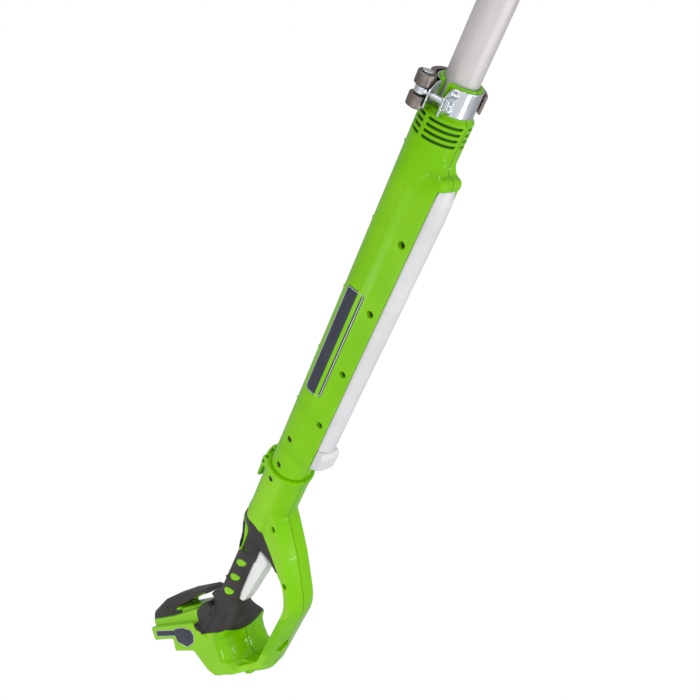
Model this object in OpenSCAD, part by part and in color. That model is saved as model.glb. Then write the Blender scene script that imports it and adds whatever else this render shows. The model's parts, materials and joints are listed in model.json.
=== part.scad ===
// Cordless string trimmer: telescoping shaft, twist handle with a knuckle loop, angled motor head.
// Lies on its loop and on the rim of its guard. +X runs along the shaft to the head, +Z is up.
// Parts are drawn from the joint between handle and housing (x = 0) on the shaft's own axis,
// and place() then sets them on the ground with the origin below the middle of the whole tool.

/* [Shaft tube] */
// Outside diameter of the telescoping tube
tube_od = 28; // [26:0.5:29]
// Wall of the tube
tube_wall = 1.2; // [0.8:0.1:2]
// Length of tube between the clamp collar and the head's socket
tube_out = 205; // [180:5:320]
// Length of tube inside the housing
tube_in = 194; // [150:2:230]
// Radial play of the tube in its guides
tube_play = 0.3; // [0.15:0.05:0.4]

/* [Housing] */
// Length of the housing from the handle joint to the clamp shoulder
house_len = 420; // [400:5:460]
// Outside radius of the housing's round back
house_r = 22.4; // [22:0.1:25]
// Wall of all green shells
wall = 2.5; // [1.8:0.1:3]
// Depth of the flat keel below the shaft axis
keel_drop = 31; // [28:0.5:36]
// Half width of the keel's flat face
keel_half = 14; // [12:0.5:17]
// Height of the split collar above the clamp shoulder
collar_len = 24; // [20:1:30]
// Number of cooling slot rows
vent_rows = 4; // [2:1:6]
// Spacing of the cooling slot rows
vent_pitch = 5; // [4:0.5:7]

/* [Rail] */
// Half width of the slide-in rail strip
rail_half = 12; // [9:0.5:13]
// How far the rail stands out of the keel
rail_out = 7.5; // [5:0.5:14]
// Extra height of the rail's end stop
stop_out = 5.5; // [3:0.5:9]

/* [Clamp] */
// Width of the clamp band along the shaft
band_w = 21; // [16:1:23]
// Thickness of the clamp band
band_t = 1.5; // [1:0.1:2.5]
// Direction of the clamp's ears, turned from straight down towards the near side
clamp_turn = 74; // [40:1:120]
// Gap between the band's two ears
ear_gap = 11.5; // [10:0.5:16]
// Diameter of the clamp's eye bolt
bolt_d = 5; // [4:0.5:6]
// Sweep of the clamp lever around the collar
lever_sweep = 208; // [150:2:212]

/* [Handle] */
// Radius of the handle's neck
neck_r = 25.2; // [24.5:0.1:28]
// Radius of the grip over its rubber
grip_r = 18; // [16:0.25:19.5]
// Thickness of the rubber covers
rubber_t = 2.5; // [1.5:0.1:3]
// Depth of the knuckle loop below the shaft axis
loop_depth = 99.5; // [92:0.5:110]
// Half width of the knuckle loop
loop_half = 18.5; // [17:0.5:22]
// Thickness of the loop's bar
loop_bar = 16.5; // [14:0.5:22]
// Radius of the teardrop recess that hangs the tool on a screw's head
hang_r = 7; // [5:0.25:8]
// Half width of the trigger
trigger_half = 8; // [6:0.5:9]
// How far the trigger stands out of the grip
trigger_out = 15; // [11:0.5:17]
// Half width of the lock button
button_half = 6; // [5:0.5:8]

/* [Dock] */
// Slope of the battery dock against the shaft
dock_angle = 30; // [28:0.5:32]
// Length of the dock's side plates
dock_len = 132; // [122:1:140]
// Half width of the dock over its side plates
dock_half = 37; // [35:0.5:42]
// Depth from the deck to the base of the body
dock_depth = 72; // [68:0.5:78]
// Half width of the hand bar over its rubber
bar_half = 15; // [13:0.5:18]

/* [Head] */
// Angle between the shaft and the spool axis
head_angle = 55; // [50:1:60]
// Height of the spool hub below the shaft axis
hub_drop = 10; // [6:0.5:14]
// Radius of the head's motor casing
head_r = 33; // [31:0.5:38]
// Height of the head's motor casing above the guard
head_h = 62; // [58:1:70]
// Radius of the motor can
motor_r = 23; // [18:0.5:26]
// Length of the motor can
motor_len = 42; // [34:1:44]
// Radius of the guard at its lip
guard_r = 127; // [118:1:132]
// Half angle of the guard's sector
guard_half_angle = 62; // [50:1:75]
// Radius of the spool housing
spool_r = 36; // [32:0.5:40]
// Height of the spool housing
spool_h = 28; // [24:1:32]
// Diameter of the motor shaft
arbor_d = 6; // [5:0.5:8]
// Diameter of the cutting line
line_d = 2; // [1.5:0.1:2.5]
// Length of each free end of cutting line from the spool axis
line_reach = 108; // [80:1:112]

/* [Fits] */
// Radial play of pins and shafts that turn
pin_play = 0.08; // [0.03:0.01:0.1]
// Side play between pieces that move past each other
side_play = 0.4; // [0.3:0.05:0.6]
// Diameter of hinge pins
pin_d = 4; // [3:0.25:5]
// Radius of the screw recesses
recess_r = 3.3; // [2.8:0.1:3.6]

/* [Hidden] */
$fn = 48;
eps = 0.01;
tube_r = tube_od / 2;
bore_r = tube_r + tube_play;
house_in = house_r - wall;
collar_r = bore_r + 3.4;
rim_x = house_len + collar_len;
tube_x0 = house_len - tube_in + eps;
tube_x1 = rim_x + tube_out;
stop_len = 12;
guide_len = 26;
clamp_x = house_len + collar_len / 2;
band_r = collar_r + 0.05;
keel_x0 = 34;
keel_x1 = house_len - 46;
keel_in = keel_drop - 3;
keel_hollow = 9;
groove = 1;
stop_x1 = 61;
label_x = [119.5, 250.5];
label_turn = [56, 112];
label_t = 0.5;
sleeve_r = house_in - 0.05;
sleeve_bore = sleeve_r - 3;
sleeve_back = 58;
sleeve_front = 58;
sleeve_screw_x = [10, 50];
flange_x = -38;
flange_r = neck_r - 2.2;
rim_out = 1.7;
core_r = grip_r - rubber_t;
grip_in = core_r - wall;
grip_x0 = -114;
grip_x1 = -262;
neck_x = -84;
horn_up = 3;
loop_x0 = -57;
loop_x1 = -281;
loop_flat_x = -160;
crown = 6.5;
crown_flat = 4;
hang_tip = 21;
hang_deep = 9;
leg_top = -loop_depth + loop_bar;
trigger_x0 = -141;
trigger_x1 = -238;
pivot_x = trigger_x0 - 5;
pivot_z = -11;
pin_half = 10.1;
button_x = -151;
button_len = 32;
lock_spring_x = button_x - 10;
button_rise = 6;
switch_x = [-209, -180];
lead_r = 2.5;
lead_y = 9.5;
lead_z = 4;
latch_x = -21;
latch_z = 29;
ear_t = 3;
dock_x = -436;
dock_z = 83;
wall_d = 109;
wall_t = 4;
body_back = 136;
body_front = 203;
body_waist = 195;
waist_n = 38;
boot_n = 16;
boot_half = dock_half - 3;
plate_t = 3;
deck_half = dock_half - 10;
board_n = 54;
board_t = 1.6;
hub_x = tube_x1 + 62;
socket_len = 46;
socket_t = 3.5;
guard_t = 3;
lip_t = 2.5;
lip_flat = 0.8;
lip_h = (loop_depth - hub_drop - guard_r * cos(head_angle)) / sin(head_angle) + lip_flat;
clearance_h = 8;
spool_top = -clearance_h;
spool_bottom = -clearance_h - spool_h;
line_z = -clearance_h - spool_h / 2;
shank_r = 1.4;
head_screw_r = 2.7;
ground = loop_depth;
// Reach of the tool to the rear (rounded end of the hand bar) and to the front (edge of the spool)
bar_end_r = 14;
bar_end_d = -13;
bar_end_h = 5;
bar_cut_h = 4;
rear_x = dock_x + bar_end_d * cos(dock_angle) + bar_end_h * sin(dock_angle) - bar_end_r;
front_x = hub_x - spool_bottom * cos(head_angle) + spool_r * sin(head_angle);
x_mid = (rear_x + front_x) / 2;

// ---- Frames -------------------------------------------------------------------------------------

// Sets a part that was drawn on the shaft axis down on the ground
module place() translate([-x_mid, 0, ground]) children();

// A round bar along the shaft from x0 to x1
module along(x0, x1, r) translate([x0, 0, 0]) rotate([0, 90, 0]) cylinder(h = x1 - x0, r = r);

// A round bar across the tool
module across(x, z, r, half) translate([x, half, z]) rotate([90, 0, 0]) cylinder(h = 2 * half, r = r);

// A side outline in x and z, given a width across the tool
module slab(half) rotate([90, 0, 0]) linear_extrude(height = 2 * half, center = true) children();

// The near half of a part
module near() intersection() {
    children();
    translate([-1000, -200, -400]) cube([2500, 200, 800]);
}

// The far half of a part
module far() intersection() {
    children();
    translate([-1000, 0, -400]) cube([2500, 200, 800]);
}

// The battery dock's own frame: x runs up the deck from its rear end, z stands on the deck
module dock_frame() translate([dock_x, 0, dock_z]) rotate([0, dock_angle, 0]) children();

// The head's own frame: z stands on the guard along the spool axis, x points ahead
module head_frame() translate([hub_x, 0, -hub_drop]) rotate([0, head_angle - 90, 0]) children();

// The clamp's own frame: z points out between the ears, y from the lever's pin to the nut
module clamp_frame() translate([clamp_x, 0, 0])
    rotate([180 - clamp_turn, 0, 0]) mirror([0, 1, 0]) children();

// A band around the shaft, turned from straight down towards the near side: from a0 to a1
module arc(x0, x1, r0, r1, a0, a1) rotate([0, 90, 0]) rotate([0, 0, -a1])
    rotate_extrude(angle = a1 - a0) translate([r0, x0]) square([r1 - r0, x1 - x0]);

// ---- Housing ------------------------------------------------------------------------------------

// Outline across the shaft of the keel that carries the rail, with flanks that touch the round back
module keel_outline(drop, half, out = 0) {
    reach = norm([drop, half]);
    side = atan2(half, drop) + acos(house_r / reach);
    top = (house_r + out) * [sin(side), -cos(side)];
    low = [half, -drop] + out * [sin(side), -cos(side)];
    polygon([[-top[0], top[1]], [-low[0], low[1]], low, top]);
}

// An outline across the shaft, drawn out from x0 to x1
module drawn(x0, x1) translate([x0, 0, 0]) rotate([90, 0, 90]) linear_extrude(height = x1 - x0) children();

// One row of cooling slots, two on each side
module vent_row(x) for (a = [[8, 86], [96, 132]], m = [0, 1]) mirror([0, m, 0])
    arc(x - 0.9, x + 0.9, house_in - 1, house_r + 1, a[0], a[1]);

// Outline of the whole housing across the shaft, or one that stands further out
module house_outline(out = 0) {
    circle(r = house_r + out);
    keel_outline(keel_drop, keel_half, out);
}

// Hood over the rail's upper end
module rail_hood() hull() {
    translate([keel_x1 - 4, 0, -keel_drop + 8.2]) rotate([0, 90, 0])
        cylinder(h = 3.5, r = rail_half, $fn = 32);
    translate([keel_x1 + 5, 0, -house_r + 9]) rotate([0, 90, 0]) cylinder(h = 4, r = 9.5, $fn = 32);
}

module housing() {
    difference() {
        union() {
            difference() {
                union() {
                    along(0, house_len, house_r);
                    drawn(keel_x0, keel_x1) keel_outline(keel_drop, keel_half);
                    rail_hood();
                }
                along(-1, house_len - wall, house_in);
                // Hollow of the keel
                translate([keel_x0 + wall, -keel_hollow, -keel_in])
                    cube([keel_x1 - keel_x0 - 2 * wall - 6, 2 * keel_hollow, keel_in]);
            }
            along(house_len - wall, rim_x, collar_r);
            for (x = housing_screw_x) across(x, housing_screw_z, shank_r + 1, keel_hollow + eps);
        }
        along(house_len - wall - 1, rim_x + 1, bore_r);
        // Groove that holds the rail
        translate([keel_x0 - 1, -rail_half, -keel_drop - 1])
            cube([keel_x1 - keel_x0 + 1, 2 * rail_half, 1 + groove]);
        drawn(keel_x1 - 6, keel_x1) rail_outline(rail_out + 0.3, rail_half);
        // Split of the collar between the clamp's ears and its two relief slots
        for (turn = [split_turn, split_turn + 120, split_turn + 240]) translate([house_len + 2, 0, 0])
            rotate([180 - turn, 0, 0]) translate([0, turn == split_turn ? -split_w / 2 : -1, bore_r - 1])
                cube([collar_len, turn == split_turn ? split_w : 2, 6]);
        for (i = [0:vent_rows - 1]) vent_row(house_len - 5 - i * vent_pitch);
        for (x = housing_screw_x) screw_recess(x, housing_screw_z, -keel_hollow - 1.5, keel_hollow + 3);
        for (x = sleeve_screw_x) screw_recess(x, 0, -sleeve_r + 1, 0);
    }
}
housing_screw_x = [92, 162, 236, 311];
housing_screw_z = -22.6;
split_turn = 90;
split_w = 6.4;

// Recess of one screw from the near side down to its seat, and the hole of its shank up to y1
module screw_recess(x, z, seat, y1) {
    translate([x, -60, z]) rotate([-90, 0, 0]) cylinder(h = 60 + seat, r = recess_r, $fn = 32);
    if (y1 > seat) translate([x, seat - eps, z]) rotate([-90, 0, 0])
        cylinder(h = y1 - seat + 2 * eps, r = shank_r, $fn = 24);
}

module housing_near() color("yellowgreen") place() near() housing();
module housing_far() color("olivedrab") place() far() housing();

module coupling_sleeve() color("dimgray") place() difference() {
    union() {
        along(-sleeve_back, sleeve_front, sleeve_r);
        along(flange_x - 2, flange_x + 2, flange_r);
    }
    along(-sleeve_back - 1, sleeve_front - wall, sleeve_bore);
    along(0, sleeve_front + 1, coil_in);
    for (x = sleeve_screw_x) screw_recess(x, 0, -sleeve_r + 1, -sleeve_bore);
}

// Rounded section of the rail, from the groove's floor down
module rail_outline(out, half) intersection() {
    translate([0, -keel_drop - out + half * 1.1]) circle(r = half * 1.1);
    translate([-half, -keel_drop - out]) square([2 * half, out + groove - eps]);
}
module slide_rail() color("gainsboro") place()
    drawn(stop_x1 + eps, keel_x1 - 0.3) rail_outline(rail_out, rail_half - 0.1);

// The rail's end stop, with a slanted foot and flat sides
module rail_stop() color("lightgray") place() slab(rail_half - 0.1) polygon([
    [keel_x0 - 1, -keel_drop + groove - eps], [keel_x0 + 7, -keel_drop - rail_out - stop_out],
    [stop_x1 - 6, -keel_drop - rail_out - stop_out + 1], [stop_x1, -keel_drop - rail_out + 1],
    [stop_x1, -keel_drop + groove - eps]
]);

module housing_screws() color("silver") place() {
    for (x = housing_screw_x) screw(x, housing_screw_z, -keel_hollow - 1.5, keel_hollow + 3);
    for (x = sleeve_screw_x) screw(x, 0, -sleeve_r + 1, -sleeve_bore);
}

// A pan-head screw on its seat, driven towards the far side up to y1
module screw(x, z, seat, y1) {
    translate([x, seat - 2, z]) rotate([-90, 0, 0]) cylinder(h = 2 - eps, r = head_screw_r, $fn = 24);
    if (y1 > seat) translate([x, seat - 1, z]) rotate([-90, 0, 0])
        cylinder(h = y1 - seat + 1, r = shank_r, $fn = 24);
}

function down_to_near(a, r) = [-r * sin(a), -r * cos(a)];
module label_plate() color("darkslategray") place() drawn(label_x[0], label_x[1]) intersection() {
    difference() {
        house_outline(label_t);
        house_outline(eps);
    }
    polygon([
        [0, 0], down_to_near(label_turn[0], 60), down_to_near((label_turn[0] + label_turn[1]) / 2, 60),
        down_to_near(label_turn[1], 60)
    ]);
}

module tube_guide() color("black") place() difference() {
    along(house_len - wall - guide_len, house_len - wall - eps, house_in - eps);
    along(house_len - 60, house_len, bore_r);
}

coil_r = 10.8;
coil_in = 6.5;
module coiled_lead() color("black") place() difference() {
    along(sleeve_front + eps, tube_x0 + 60, coil_r);
    along(sleeve_front - 1, tube_x0 + 61, coil_in);
}

// ---- Clamp --------------------------------------------------------------------------------------

ear_out = 13.5;
ear_y = -9.5;
bolt_h = 26;
pivot_y = -17.5;
cam_r = 7.5;
cam_x = [3.5, 13.5];
eye_half = 3;
eye_r = 5;
arm_r = 23.2;
arm_t = 2.6;
arm_half = 11;
arm_shift = 0.8;
pivot_turn = atan2(-pivot_y, bolt_h);
nut_t = 4;

// A round bar along the shaft at the lever's pin, in the clamp's frame
module at_pivot(x0, x1, r) translate([x0, pivot_y, bolt_h]) rotate([0, 90, 0]) cylinder(h = x1 - x0, r = r);

module clamp_band() color("lightsteelblue") place() clamp_frame() difference() {
    union() {
        along(-band_w / 2, band_w / 2, band_r + band_t);
        translate([-band_w / 2, ear_y, 0]) cube([band_w, ear_gap + 2 * band_t, band_r + ear_out]);
    }
    along(-band_w, band_w, band_r);
    translate([-band_w, ear_y + band_t, 0]) cube([2 * band_w, ear_gap, band_r + 2 * ear_out]);
    across(0, bolt_h, bolt_d / 2 + side_play / 2, 30);
}

module eye_bolt() color("silver") place() clamp_frame() difference() {
    union() {
        translate([0, pivot_y, bolt_h]) rotate([-90, 0, 0]) cylinder(h = -pivot_y + 10, r = bolt_d / 2);
        at_pivot(-eye_half, eye_half, eye_r);
    }
    at_pivot(-eye_half - 1, eye_half + 1, pin_d / 2);
}

module clamp_nut() color("silver") place() clamp_frame() difference() {
    translate([-4.5, ear_y + ear_gap + 2 * band_t + eps, bolt_h - 4.5]) cube([9, nut_t, 9]);
    across(0, bolt_h, bolt_d / 2, 30);
}

module clamp_lever() color("gray") place() clamp_frame() difference() {
    union() {
        // Two cams on the pin, with the eye between them
        for (m = [0, 1]) mirror([m, 0, 0]) at_pivot(cam_x[0], cam_x[1], cam_r);
        // Curved arm around the collar, standing a little further off towards its tip
        translate([0, arm_shift * sin(pivot_turn), -arm_shift * cos(pivot_turn)])
            rotate([0, 90, 0]) rotate([0, 0, 180 + pivot_turn]) rotate_extrude(angle = lever_sweep)
                translate([arm_r, -arm_half]) square([arm_t, 2 * arm_half]);
    }
    at_pivot(-20, 20, pin_d / 2 + pin_play);
    at_pivot(-cam_x[0], cam_x[0], eye_r + 1.2);
}

module lever_pin() color("silver") place() clamp_frame() {
    at_pivot(-cam_x[1] - side_play, cam_x[1] + side_play, pin_d / 2);
    for (m = [0, 1]) mirror([m, 0, 0]) at_pivot(cam_x[1] + side_play, cam_x[1] + side_play + 1.5, 4.6);
}

// ---- Tube ---------------------------------------------------------------------------------------

module tube() color("lightgray") place() difference() {
    along(tube_x0, tube_x1, tube_r);
    along(tube_x0 - 1, tube_x1 + 1, tube_r - tube_wall);
}

module tube_stop() color("black") place() difference() {
    along(tube_x0, tube_x0 + stop_len, house_in - tube_play);
    along(tube_x0 - 1, tube_x0 + stop_len + 1, tube_r + eps);
}

tube_lead_r = 3.5;
module tube_lead() color("black") place() along(tube_x0 + 62, tube_x1 + 20, tube_lead_r);

// ---- Handle -------------------------------------------------------------------------------------

// Side outline of the neck's gusset and the knuckle loop, with the finger opening left out
module loop_outline() {
    outer = [
        [loop_x0, 10], [loop_x0, -34], [-85, -56], [-119, -81], [-134, -90],
        [-148, -96.5], [loop_flat_x, -loop_depth], [loop_x1 + 6, -loop_depth], [loop_x1, -loop_depth + 6],
        [loop_x1 - 27, -74]
    ];
    inner = [
        [loop_x1 - 19, -62], [loop_x1 - 5, leg_top], [-154, leg_top], [-144, leg_top + 2.5],
        [-136, leg_top + 9], [-129, -64], [-124.5, -54], [-123.5, -42], [-121, -32], [-119, -12], [-114, 10]
    ];
    polygon(concat(outer, inner));
}

// Section of one leg of the loop, crowned on its outer face, which runs through a point at an angle
module leg_section(x, z, turn) {
    edge = loop_half + 5;
    rise = crown / (loop_half - crown_flat) * (edge - crown_flat);
    translate([x, 0, z]) rotate([0, turn, 0]) drawn(-300, 300) polygon([
        [-edge, 200], [-edge, rise], [-crown_flat, 0], [crown_flat, 0], [edge, rise], [edge, 200]
    ]);
}

// Side outline of the rubber inlay that runs down the inside of the loop
module inlay_outline() polygon([
    [-97, -19], [-106, -32], [-113, -44], [-120, -54.6], [-126, -58], [-124, -51], [-123.5, -42],
    [-121, -32], [-119.5, -19]
]);
inlay_t = 1.2;

// The inlay's pocket on the near side, out to a given half width
module inlay(out) translate([0, inlay_t - loop_half, 0]) rotate([90, 0, 0])
    linear_extrude(height = out - loop_half + inlay_t) inlay_outline();

// Outline of the dock's side plates, in the dock's frame
module dock_outline() polygon([
    [0, 0], [dock_len, 0], [body_back + 12, -10], [body_back + 26, -boot_n], [body_front - 20, -boot_n],
    [body_front - 20, 1.5 - dock_depth], [138, 1.5 - dock_depth],
    [129, -dock_depth + 8], [wall_d, -37], [54, -35.5], [61, -19], [0, -18.5]
]);

// A rounded rectangle lying in the dock's frame
module pad(x0, x1, half, z, r, t = 0.5) translate([x0 + r, -half + r, z]) linear_extrude(height = t)
    offset(r = r, $fn = 32) square([x1 - x0 - 2 * r, 2 * (half - r)]);

// The flared foot of the grip, with in taken off all round
module boot(in) hull() {
    along(grip_x1, grip_x1 + 26, grip_r - in);
    dock_frame() {
        pad(body_back + in, body_front - in, boot_half - in, -boot_n, 16);
        pad(body_back + 1 + in, body_front - in, deck_half - in, 12 - in, 14);
    }
}

// The belly between the grip's foot and the base, drawn in at its waist
module belly(in) {
    hull() dock_frame() {
        pad(body_back - 8 + in, body_front - in, boot_half + 0.5 - in, -boot_n - 0.5 - in, 16);
        pad(body_back - 12 + in, body_waist - in, dock_half + 0.4 - in, -waist_n, 26);
    }
    hull() dock_frame() {
        pad(body_back - 12 + in, body_waist - 0.3 - in, dock_half + 0.1 - in, 2 - waist_n, 26);
        pad(body_back - 2 + in, body_front - in, dock_half - 1 - in, -dock_depth + in, 12, 6);
    }
}

// The hand bar with its rear post, with in taken off all round
module hand_bar(in) dock_frame() hull() {
    across(bar_end_d, bar_end_h, bar_end_r - in, bar_half + 3 - in);
    across(30, 19, 12 - in, bar_half + 3 - in);
    across(88, 26, 9.5 - in, bar_half - in);
    across(168, 26, 8 - in, bar_half - in);
}

// Slot between the hand bar and the deck
module bar_gap() dock_frame() slab(60) polygon([
    [62, 9], [62, 16], [128, 23.5], [172, 27], [178, 20], [160, 19.5], [128, 15]
]);

module deck() dock_frame() slab(deck_half) polygon([
    [-6, -eps], [-6, 8], [62, 9], [128, 15], [body_back, 15.5], [body_back, -eps]
]);

// Three green windows in the rubber on each side of the grip
module hexes(r, grow) for (x = hex_x) intersection() {
    translate([x, 0, -2.8]) rotate([90, 0, 0]) cylinder(h = 80, r = 6.5 + grow, center = true, $fn = 6);
    along(x - 10, x + 10, r);
}

// Everything green on the handle, before it is hollowed
module handle_solid() {
    along(neck_x, -0.6, neck_r);
    translate([-14, 0, 0]) rotate([0, 90, 0]) cylinder(h = 13.4, r1 = neck_r, r2 = neck_r + rim_out);
    translate([neck_x - 30, 0, 0]) rotate([0, 90, 0]) cylinder(h = 30, r1 = core_r, r2 = neck_r);
    along(grip_x1, neck_x, core_r);
    hexes(grip_r, 0);
    difference() {
        intersection() {
            slab(loop_half) loop_outline();
            leg_section(loop_flat_x, -loop_depth, 0);
            leg_section(-119, -81, -36.3);
        }
        for (m = [0, 1]) mirror([0, m, 0]) inlay(loop_half + 1);
    }
    dock_frame() slab(dock_half) dock_outline();
    belly(0);
    boot(rubber_t);
    deck();
    hand_bar(rubber_t);
    // Green foot of the bar's rear post, out to the rubber's own surface
    intersection() {
        hand_bar(0);
        dock_frame() translate([-60, -80, -60]) cube([130, 160, 60 + bar_cut_h]);
    }
    // Rib below the base
    dock_frame() translate([180, -20, -dock_depth - 7]) cube([18, 40, 12]);
    // Ears of the twist latch
    for (s = [-1, 1]) translate([latch_x - 6, s * (8 + side_play + ear_t / 2) - ear_t / 2, 18])
        cube([12, ear_t, latch_z + 3.5 - 18]);
}

module handle_hollow() {
    // Bore that turns on the sleeve, with the groove for its flange
    along(-sleeve_back - 1, 1, sleeve_r + pin_play);
    along(flange_x - 2 - side_play, flange_x + 2 + side_play, flange_r + side_play);
    along(-316, -108, grip_in);
    along(-105, 1, grip_in);
    lead_bar(-110, -100);
    // Hollow of the loop's lower leg
    translate([hang_x + hang_tip + wall, -loop_half + 7, -loop_depth + crown])
        cube([loop_flat_x - hang_x - hang_tip - wall, 2 * (loop_half - 7), loop_bar - crown - wall]);
    // Hollow of the belly
    dock_frame() translate([wall_d + wall_t, -boot_half + 8, -dock_depth + 9])
        cube([body_waist - 12 - wall_d - wall_t, 2 * (boot_half - 8), dock_depth - 9 - boot_n]);
    control_board_box();
    // Battery bay between the side plates, open to the rear and below
    dock_frame() {
        difference() {
            translate([-20, -dock_half + plate_t, -90])
                cube([wall_d + 20, 2 * (dock_half - plate_t), 90 - plate_t]);
            for (s = [-1, 1]) translate([-30, s * (dock_half - plate_t) - 4, -16])
                cube([wall_d + 30, 8, 3]);
        }
        // Seat of the terminal block in the bay's front wall
        translate([wall_d - 1, -22, -34]) cube([wall_t + 2, 44, 16]);
    }
    bar_gap();
    trigger_mouth();
    switch_box();
    across(pivot_x, pivot_z, pin_d / 2, pin_half);
    // Window of the lock button
    translate([button_x - button_len / 2 - side_play, -button_half - side_play, 0])
        cube([button_len + 2 * side_play, 2 * (button_half + side_play), 40]);
    across(latch_x, latch_z, pin_d / 2, 40);
    hang_recess();
    for (p = handle_screw_at) screw_recess(p[0], p[1], p[2], p[3]);
}
hang_x = -233;

// Teardrop recess in the loop's lower face
module hang_recess() translate([hang_x, 0, -loop_depth - 1]) linear_extrude(height = hang_deep + 1) {
    turn = asin(hang_r / hang_tip);
    circle(r = hang_r);
    polygon([
        [hang_tip, 0], [hang_r * sin(turn), hang_r * cos(turn)], [hang_r * sin(turn), -hang_r * cos(turn)]
    ]);
}
// Each screw of the handle: x, z, its seat and how far its shank goes
handle_screw_at = [
    [-12, 0, -22.8, -20.4], [-90, 18.5, -12, 12], [-75, -26, -12, 12], [-125, -70, -12, 12],
    [-146, -0.4, -13, 13], [-220, 9.6, -13, 10.5], [-278, 12, -18, -12], [-397, 81, -9, 9]
];
hex_x = [-171, -201, -231];

// Mouth of the trigger in the grip
module trigger_mouth() translate([trigger_x1 - 5, -trigger_half - side_play, -40])
    cube([trigger_x0 - trigger_x1 + 9, 2 * (trigger_half + side_play), 40]);

module handle() difference() {
    handle_solid();
    handle_hollow();
}
module handle_near() color("yellowgreen") place() near() handle();
module handle_far() color("olivedrab") place() far() handle();

module grip_cover() difference() {
    union() {
        along(grip_x1 + 0.5, grip_x0 - 2, grip_r);
        // Horn that rises from the grip's back to the neck
        intersection() {
            hull() {
                along(-156, -154, grip_r);
                translate([0, 0, horn_up]) along(-134, -100, neck_r);
            }
            translate([-170, -60, -14]) cube([72, 120, 80]);
        }
        translate([grip_x0 - 24, 0, 0]) rotate([0, 90, 0]) cylinder(h = 24, r1 = grip_r, r2 = neck_r - 1);
        boot(0);
    }
    // Everything green below it
    along(grip_x1 - 20, 0, core_r);
    translate([neck_x - 30, 0, 0]) rotate([0, 90, 0]) cylinder(h = 30, r1 = core_r, r2 = neck_r);
    slab(loop_half) loop_outline();
    boot(rubber_t);
    hand_bar(0);
    dock_frame() slab(dock_half) polygon([
        [100, 0], [dock_len, 0], [body_back + 12, -10], [body_back + 26, -boot_n], [body_back + 26, -40],
        [100, -40]
    ]);
    hexes(grip_r + 1, 0);
    trigger_mouth();
    across(pivot_x, pivot_z, pin_d / 2 + eps, pin_half + eps);
    translate([button_x - button_len / 2 - 3, -button_half - 3, 0])
        cube([button_len + 6, 2 * button_half + 6, 60]);
    for (i = [4:6]) screw_recess(handle_screw_at[i][0], handle_screw_at[i][1], handle_screw_at[i][2], 0);
}
module grip_cover_near() color([0.2, 0.19, 0.2]) place() near() grip_cover();
module grip_cover_far() color([0.25, 0.24, 0.25]) place() far() grip_cover();
module loop_inlay_near() color([0.2, 0.19, 0.2]) place() inlay(loop_half);
module loop_inlay_far() color([0.25, 0.24, 0.25]) place() mirror([0, 1, 0]) inlay(loop_half);

module bar_cover() difference() {
    hand_bar(0);
    hand_bar(rubber_t);
    deck();
    bar_gap();
    dock_frame() translate([-60, -80, -60]) cube([300, 160, 60 + bar_cut_h]);
    boot(0);
    along(grip_x1 - 60, 0, grip_r);
    screw_recess(handle_screw_at[7][0], handle_screw_at[7][1], handle_screw_at[7][2], 0);
}
module bar_cover_near() color([0.2, 0.19, 0.2]) place() near() bar_cover();
module bar_cover_far() color([0.25, 0.24, 0.25]) place() far() bar_cover();

module handle_screws() color("silver") place() for (p = handle_screw_at) screw(p[0], p[1], p[2], p[3]);

// ---- Trigger, lock button and the parts inside the handle -----------------------------------------

module trigger() color("whitesmoke") place() difference() {
    slab(trigger_half) polygon([
        [trigger_x0 + 2, -8.5], [trigger_x0 + 1, -grip_r], [trigger_x0 - 1, -grip_r - trigger_out + 2],
        [trigger_x0 - 8, -grip_r - trigger_out], [trigger_x1 + 26, -grip_r - trigger_out + 2],
        [trigger_x1 + 2, -grip_r - 6], [trigger_x1, -grip_r + 2], [trigger_x1 + 3, -14],
        [trigger_x0 - 14, -8.5]
    ]);
    across(pivot_x, pivot_z, pin_d / 2 + pin_play, 40);
    // Slot for the spring on the pin
    translate([pivot_x - 12, -3, pivot_z - 5]) cube([17, 6, 20]);
}
module trigger_pin() color("silver") place() across(pivot_x, pivot_z, pin_d / 2, pin_half);
spring_half = 2.4;
module trigger_spring() color("silver") place() difference() {
    union() {
        across(pivot_x, pivot_z, pin_d / 2 + 2, spring_half);
        translate([pivot_x - 5, -spring_half, pivot_z]) rotate([0, 12, 0]) cube([1.5, 2 * spring_half, 10]);
    }
    across(pivot_x, pivot_z, pin_d / 2, 10);
}
module lock_button() color([0.3, 0.29, 0.3]) place()
    translate([button_x - button_len / 2, -button_half, core_r - 6])
        cube([button_len, 2 * button_half, rubber_t + button_rise + 3]);
module lock_spring() color("silver") place() difference() {
    translate([lock_spring_x, 0, -4]) cylinder(h = core_r - 2 - eps, r = 3);
    translate([lock_spring_x, 0, -10]) cylinder(h = 40, r = 2);
}
// Pocket in the grip's roof that the switch sits in
module switch_box() translate([switch_x[0], -5, -3.5]) cube([switch_x[1] - switch_x[0], 10, 17.5]);
module power_switch() color("black") place() switch_box();
module control_board_box() dock_frame() translate([wall_d + wall_t + 10, -boot_half + 6, -board_n])
    cube([60, 2 * boot_half - 12, board_t]);
module control_board() color("darkgreen") place() control_board_box();
module battery_terminals() color([0.15, 0.15, 0.15]) place() dock_frame() {
    translate([wall_d, -22 + eps, -34 + eps]) cube([wall_t, 44 - 2 * eps, 16 - 2 * eps]);
    translate([wall_d + wall_t - eps, -24, -36]) cube([8, 48, 20]);
    for (y = [-16, -6, 5, 15]) translate([wall_d - 14, y, -31]) cube([14 + eps, 0.8, 10]);
}
// The lead from the board to the coil, beside the switch
module lead_bar(x0, x1) translate([0, lead_y, lead_z]) along(x0, x1, lead_r);
module handle_lead() color("black") place() lead_bar(-312, sleeve_front - wall - 2);
module dock_badge() color("darkslategray") place() dock_frame() translate([0, -dock_half - eps, 0])
    rotate([90, 0, 0]) linear_extrude(height = 0.6) polygon([
        [6, -5], [70, -5], [74, -3], [92, -10], [92, -26], [80, -32], [66, -26], [62, -14], [6, -14]
    ]);

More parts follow.
